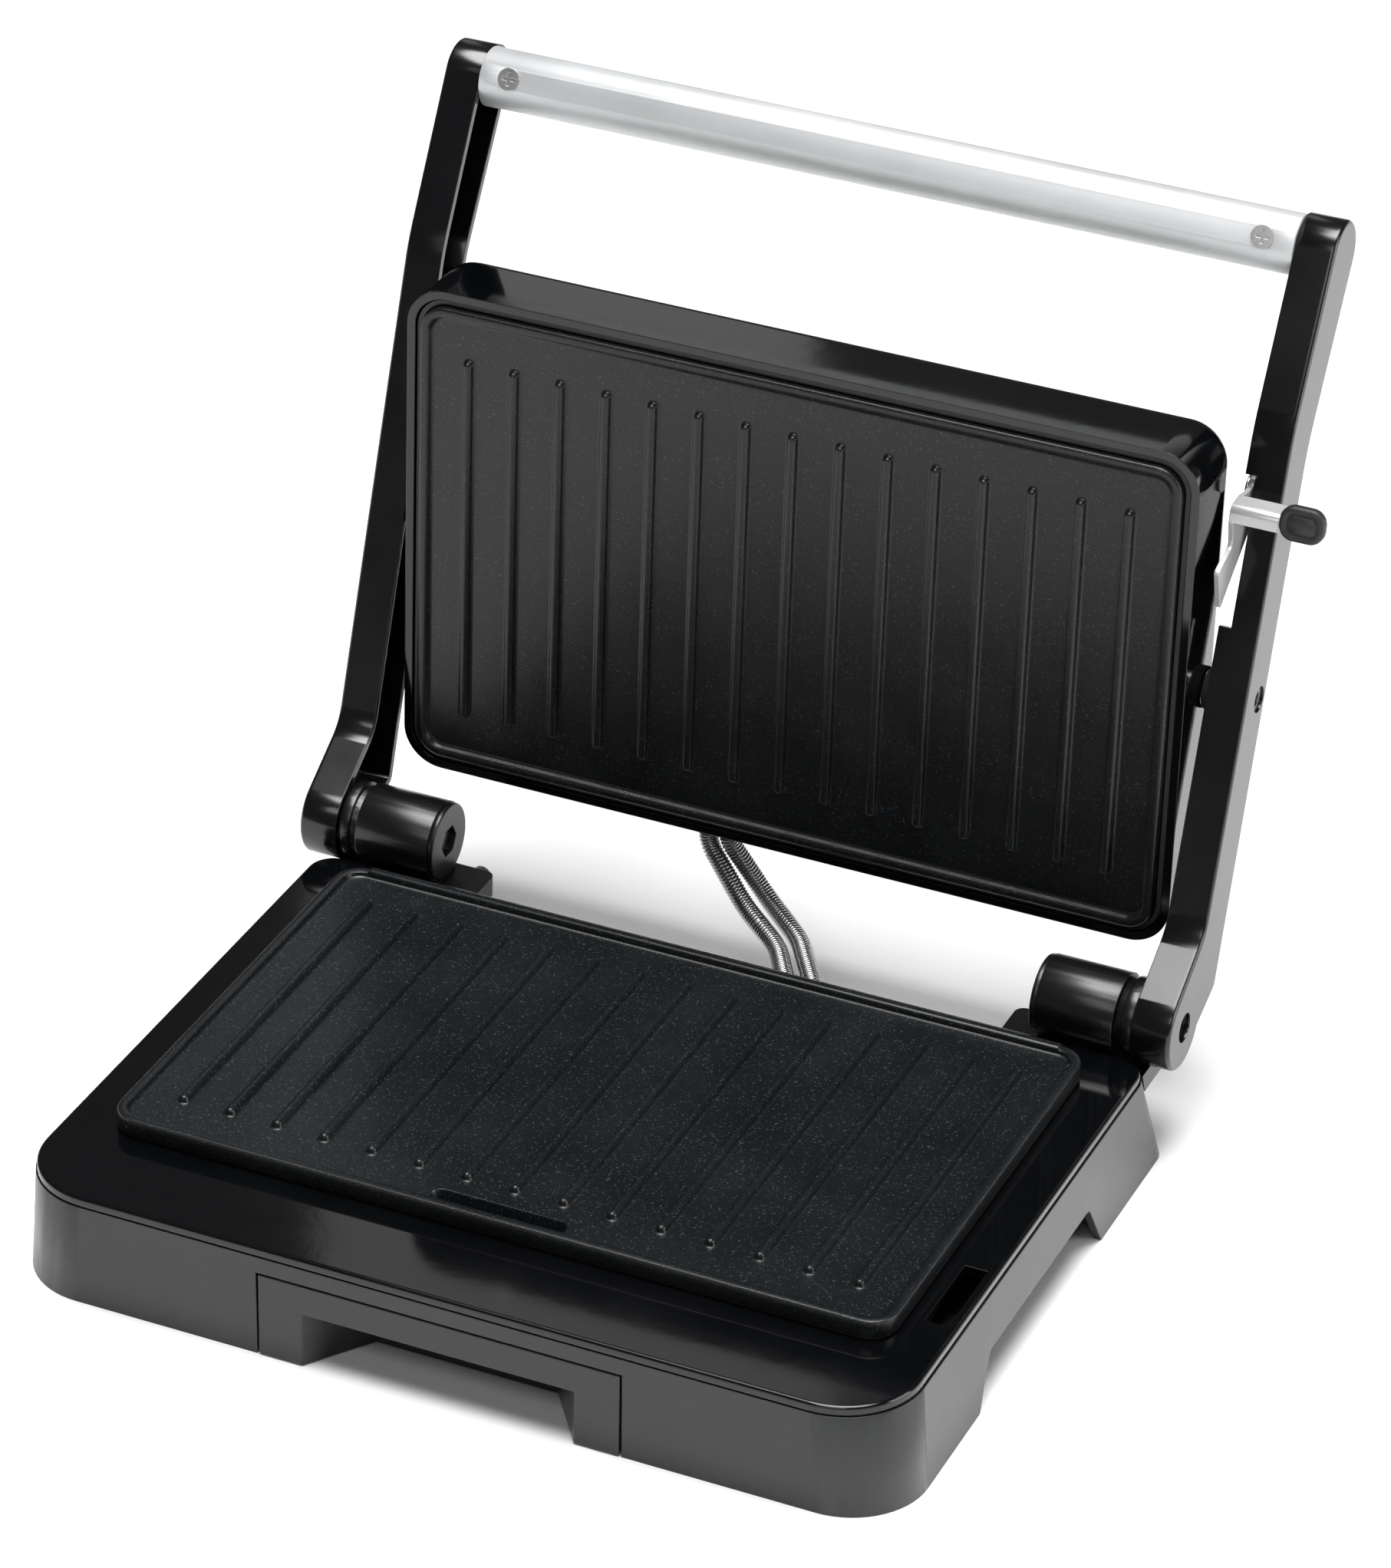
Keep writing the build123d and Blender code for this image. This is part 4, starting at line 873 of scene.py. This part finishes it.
# ---------------------------------------------------------------- conduits
@dataclass
class WiringConduit:
    """A close-wound steel sheath from the lid to the base, in a lower and an upper run."""

    shop: Workshop
    side: str
    route: tuple[tuple[float, float, float], ...]
    coil_radius: float = 2.4 * MM
    wire_radius: float = 0.5 * MM
    turn_pitch: float = 1.02 * MM
    core_radius: float = 2.25 * MM
    bends: tuple[float, ...] = (9 * MM, 16 * MM, 18 * MM)
    arc_steps: int = 24
    points_per_turn: int = 16
    wire_sides: int = 8
    split_share: float = 0.52
    core_sides: int = 16
    smooth_angle: float = 80.0

    def build(self) -> None:
        """Wind both runs in place of the conduit's node."""
        line = self._line()
        split = round(len(line) * self.split_share)
        node = f"conduit_{self.side}"
        upper = self._wind(f"{node}_upper_run", line[: split + 1])
        lower = self._wind(f"{node}_lower_run", line[split:])
        for piece in (upper, lower):
            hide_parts(node)
        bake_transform(lower)
        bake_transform(upper)
        LOG.info("wound %s", node)

    def _line(self) -> list[Vector]:
        """Even points along straight runs joined by round bends.

        Returns:
            Points from the lid to the base.
        """
        places = [Vector(place) for place in self.route]
        rough = [places[0]]
        for before, corner, after, radius in zip(places, places[1:], places[2:], self.bends):
            back, ahead = (before - corner).normalized(), (after - corner).normalized()
            half = back.angle(ahead) / 2
            middle = corner + (back + ahead).normalized() * radius / math.sin(half)
            first = (corner + back * radius / math.tan(half) - middle).normalized()
            last = (corner + ahead * radius / math.tan(half) - middle).normalized()
            for step in range(self.arc_steps + 1):
                rough.append(middle + radius * first.slerp(last, step / self.arc_steps))
        rough.append(places[-1])
        return self._even(rough, self.turn_pitch / self.points_per_turn)

    @staticmethod
    def _even(rough: list[Vector], step: float) -> list[Vector]:
        """Points at equal steps along a chain of points.

        Args:
            rough: The chain.
            step: Distance between the new points.

        Returns:
            The new points.
        """
        even = [rough[0]]
        reach = step
        for start, end in zip(rough, rough[1:]):
            length = (end - start).length
            while reach <= length:
                even.append(start.lerp(end, reach / length))
                reach += step
            reach -= length
        return even

    def _wind(self, name: str, line: list[Vector]) -> bpy.types.Object:
        """Wind a round wire closely about a line, over a dark core.

        Args:
            name: The piece's name.
            line: Even points, a fixed number for each turn.

        Returns:
            The wound piece.
        """
        maker = Maker(Matrix.Identity(4))
        normal = Vector((1.0, 0.0, 0.0))
        wire_rings, core_rings = [], []
        last = len(line) - 1
        for i, centre in enumerate(line):
            ahead = (line[min(i + 1, last)] - line[max(i - 1, 0)]).normalized()
            normal = (normal - ahead * normal.dot(ahead)).normalized()
            side = ahead.cross(normal)
            turn = 2 * math.pi * i / self.points_per_turn
            out = math.cos(turn) * normal + math.sin(turn) * side
            middle = centre + self.coil_radius * out
            wire_rings.append(
                [
                    maker.mesh.verts.new(
                        middle
                        + self.wire_radius
                        * (math.cos(a) * out + math.sin(a) * ahead)
                    )
                    for a in (2 * math.pi * k / self.wire_sides for k in range(self.wire_sides))
                ]
            )
            if i % self.points_per_turn == 0 or i == last:
                core_rings.append(
                    [
                        maker.mesh.verts.new(
                            centre
                            + self.core_radius * (math.cos(a) * normal + math.sin(a) * side)
                        )
                        for a in (2 * math.pi * k / self.core_sides for k in range(self.core_sides))
                    ]
                )
        maker.skin(wire_rings)
        maker.skin(core_rings)
        return maker.piece(name, FINISHES["spring_steel"], self.smooth_angle)


# ---------------------------------------------------------------- latch
@dataclass
class Latch:
    """The sheet-steel hook on the right arm, with its rubbery finger tab."""

    shop: Workshop
    width: float = 10.2 * MM
    thickness: float = 3.6 * MM
    corner: float = 4.2 * MM
    face_lift: float = 9.0
    groove_depth: float = 0.35 * MM
    least_corner: float = 0.4 * MM
    corner_steps: int = 8
    smooth_angle: float = 60.0

    def build(self) -> None:
        """Dress the hook and model the tab."""
        self.shop.dress("latch_hook", 0.2 * MM)
        low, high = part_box("latch_tab")
        maker = Maker(self._tab_place((low + high) / 2))
        half_x, half_y, half_z = (high.x - low.x) / 2, self.width / 2, self.thickness / 2
        rings = []
        for inset, height in self._profile(half_z):
            corner = max(self.corner - inset, self.least_corner)
            outline = rounded_outline(
                half_x - inset, half_y - inset, corner, self.corner_steps
            )
            rings.append(maker.ring(outline, height))
        maker.skin(rings)
        tab = maker.piece("latch_finger_tab", FINISHES["tab_black"], self.smooth_angle)
        self.shop.add(tab, "tab_black", "latch", "latch_tab")

    def _tab_place(self, centre: Vector) -> Matrix:
        """Axes of the tab: x outwards, y up the arm and z out of its face.

        Args:
            centre: The tab's middle.

        Returns:
            Matrix from the tab's axes to the frame.
        """
        lift = math.radians(self.face_lift)
        across = Vector((1.0, 0.0, 0.0))
        face = Vector((0.0, -math.cos(lift), math.sin(lift)))
        axes = Matrix((across, face.cross(across), face)).transposed().to_4x4()
        return Matrix.Translation(centre) @ axes

    def _profile(self, half: float) -> list[Point2]:
        """Inset and height of each ring, from the back over the edge to the grooved face.

        Args:
            half: Half the tab's thickness.

        Returns:
            The rings' insets and heights.
        """
        soft = 1.0 * MM
        groove, bank = 1.9 * MM, 0.25 * MM
        return [
            (soft, -half),
            (0.3 * soft, -half + 0.3 * soft),
            (0.0, -half + soft),
            (0.0, half - soft),
            (0.3 * soft, half - 0.3 * soft),
            (soft, half),
            (groove, half),
            (groove + bank, half - self.groove_depth),
            (groove + 2 * bank, half - self.groove_depth),
            (groove + 3 * bank, half),
        ]


# ---------------------------------------------------------------- studio
@dataclass
class Panel:
    """A soft rectangular light."""

    name: str
    place: tuple[float, float, float]
    aim: tuple[float, float, float]
    size: Span
    power: float

    def light(self) -> None:
        """Hang the light and turn it to its aim."""
        data = bpy.data.lights.new(self.name, "AREA")
        data.shape = "RECTANGLE"
        data.size, data.size_y = self.size
        data.energy = self.power
        lamp = bpy.data.objects.new(self.name, data)
        lamp.location = self.place
        ray = Vector(self.aim) - Vector(self.place)
        lamp.rotation_euler = ray.to_track_quat("-Z", "Y").to_euler()
        bpy.context.scene.collection.objects.link(lamp)


@dataclass
class Studio:
    """Pale floor, soft lights, plain surroundings and the camera."""

    floor_half: float = 6.0
    floor_colour: Colour = (0.90, 0.90, 0.90)
    low_sky: float = 0.09
    high_sky: float = 15.0
    sky_bank: Span = (0.92, 0.97)
    camera_place: tuple[float, float, float] = (0.6207, -1.4610, 1.0357)
    camera_right: tuple[float, float, float] = (0.91221, 0.40929, 0.01891)
    camera_up: tuple[float, float, float] = (-0.22512, 0.46211, 0.85779)
    camera_back: tuple[float, float, float] = (0.34235, -0.78674, 0.51367)
    lens: float = 150.6
    clip: Span = (0.05, 50.0)
    panels: tuple[Panel, ...] = (
        Panel("right_side", (2.2, 0.2, 0.7), (0.0, 0.0, 0.1), (1.2, 1.2), 25.0),
        Panel("back_left", (-0.95, 1.95, 1.35), (0.0, 0.05, 0.2), (0.35, 0.9), 0.7),
        Panel("front_high", (0.35, -2.0, 1.9), (0.0, 0.0, 0.15), (1.4, 0.7), 11.0),
    )

    def build(self) -> None:
        """Set up the floor, lights, surroundings and camera."""
        self._floor()
        for panel in self.panels:
            panel.light()
        self._surround()
        self._camera()
        bpy.context.scene.view_settings.view_transform = "Standard"

    def _floor(self) -> None:
        """Lay a plain pale floor."""
        half = self.floor_half
        maker = Maker(Matrix.Identity(4))
        corners = maker.ring([(-half, -half), (half, -half), (half, half), (-half, half)], 0.0)
        maker.mesh.faces.new(corners)
        finish = Finish(
            "pale_floor",
            self.floor_colour,
            self.floor_colour,
            (0.55, 0.60),
            grain_size=4 * MM,
            cloud_size=1.0,
            edge_highlight_share=0.0,
        )
        floor = maker.piece("floor", finish)

    def _surround(self) -> None:
        """Make the room: bright overhead, dim round the sides, and white behind the object."""
        world = bpy.data.worlds.new("studio_surround")
        bpy.context.scene.world = world
        world.use_nodes = True
        nodes, links = world.node_tree.nodes, world.node_tree.links
        light = nodes["Background"]
        direction = nodes.new("ShaderNodeTexCoord").outputs["Generated"]
        split = nodes.new("ShaderNodeSeparateXYZ")
        bank = nodes.new("ShaderNodeMapRange")
        bank.interpolation_type = "SMOOTHSTEP"
        bank.inputs["From Min"].default_value, bank.inputs["From Max"].default_value = self.sky_bank
        bank.inputs["To Min"].default_value = self.low_sky
        bank.inputs["To Max"].default_value = self.high_sky
        links.new(direction, split.inputs[0])
        links.new(split.outputs["Z"], bank.inputs["Value"])
        links.new(bank.outputs["Result"], light.inputs["Strength"])
        light.inputs["Color"].default_value = (1.0, 1.0, 1.0, 1.0)
        backdrop = nodes.new("ShaderNodeBackground")
        backdrop.inputs["Strength"].default_value = 1.0
        backdrop.inputs["Color"].default_value = (1.0, 1.0, 1.0, 1.0)
        seen = nodes.new("ShaderNodeLightPath").outputs["Is Camera Ray"]
        choice = nodes.new("ShaderNodeMixShader")
        links.new(seen, choice.inputs[0])
        links.new(light.outputs[0], choice.inputs[1])
        links.new(backdrop.outputs[0], choice.inputs[2])
        links.new(choice.outputs[0], nodes["World Output"].inputs["Surface"])

    def _camera(self) -> None:
        """Place the camera."""
        data = bpy.data.cameras.new("camera")
        data.lens = self.lens
        data.clip_start, data.clip_end = self.clip
        camera = bpy.data.objects.new("camera", data)
        axes = Matrix((self.camera_right, self.camera_up, self.camera_back)).transposed()
        camera.matrix_world = Matrix.Translation(self.camera_place) @ axes.to_4x4()
        bpy.context.scene.collection.objects.link(camera)
        bpy.context.scene.camera = camera


# ---------------------------------------------------------------- everything together
def conduit_routes() -> dict[str, tuple[tuple[float, float, float], ...]]:
    """Routes of the two conduits, from the lid's bush to the base's gland.

    Returns:
        Each side's points.
    """
    bush_low, bush_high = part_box("lid_conduit_bush")
    gland_low, gland_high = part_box("conduit_gland")
    bush_x = (bush_low.x + bush_high.x) / 2
    bush_y = (bush_low.y + bush_high.y) / 2
    gland_x = (gland_low.x + gland_high.x) / 2
    gland_z = (gland_low.z + gland_high.z) / 2
    bush_pitch, gland_pitch = 6.4 * MM, 9.0 * MM
    tuck, slant = 1.0 * MM, 0.1 * MM
    left_drop, right_drop = 6.6 * MM, 4.1 * MM
    left = (
        (bush_x - bush_pitch / 2, bush_y + slant, bush_low.z + tuck),
        (bush_x - bush_pitch / 2, bush_y - slant, bush_low.z - left_drop),
        (-11.5 * MM, 29.5 * MM, 25.5 * MM),
        (3.5 * MM, 19.5 * MM, 21.0 * MM),
        (gland_x - gland_pitch / 2, gland_high.y - tuck, gland_z),
    )
    right = (
        (bush_x + bush_pitch / 2, bush_y + slant, bush_low.z + tuck),
        (bush_x + bush_pitch / 2, bush_y - slant, bush_low.z - right_drop),
        (-8.0 * MM, 36.6 * MM, 26.4 * MM),
        (8.0 * MM, 25.4 * MM, 21.3 * MM),
        (gland_x + gland_pitch / 2, gland_high.y - tuck, gland_z + 0.2 * MM),
    )
    return {"left": left, "right": right}


def main() -> None:
    """Build every sub-assembly around the frame, then the studio."""
    logging.basicConfig(level=logging.INFO, format="%(name)s: %(message)s")
    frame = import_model()
    shop = Workshop(frame)
    BaseUnit(shop).build()
    DripTray(shop).build()
    HingePair(shop).build()
    SwingArms(shop).build()
    FloatingLid(shop).build()
    for side, route in conduit_routes().items():
        WiringConduit(shop, side, route).build()
    Latch(shop).build()
    Studio().build()


if __name__ == "__main__":
    main()
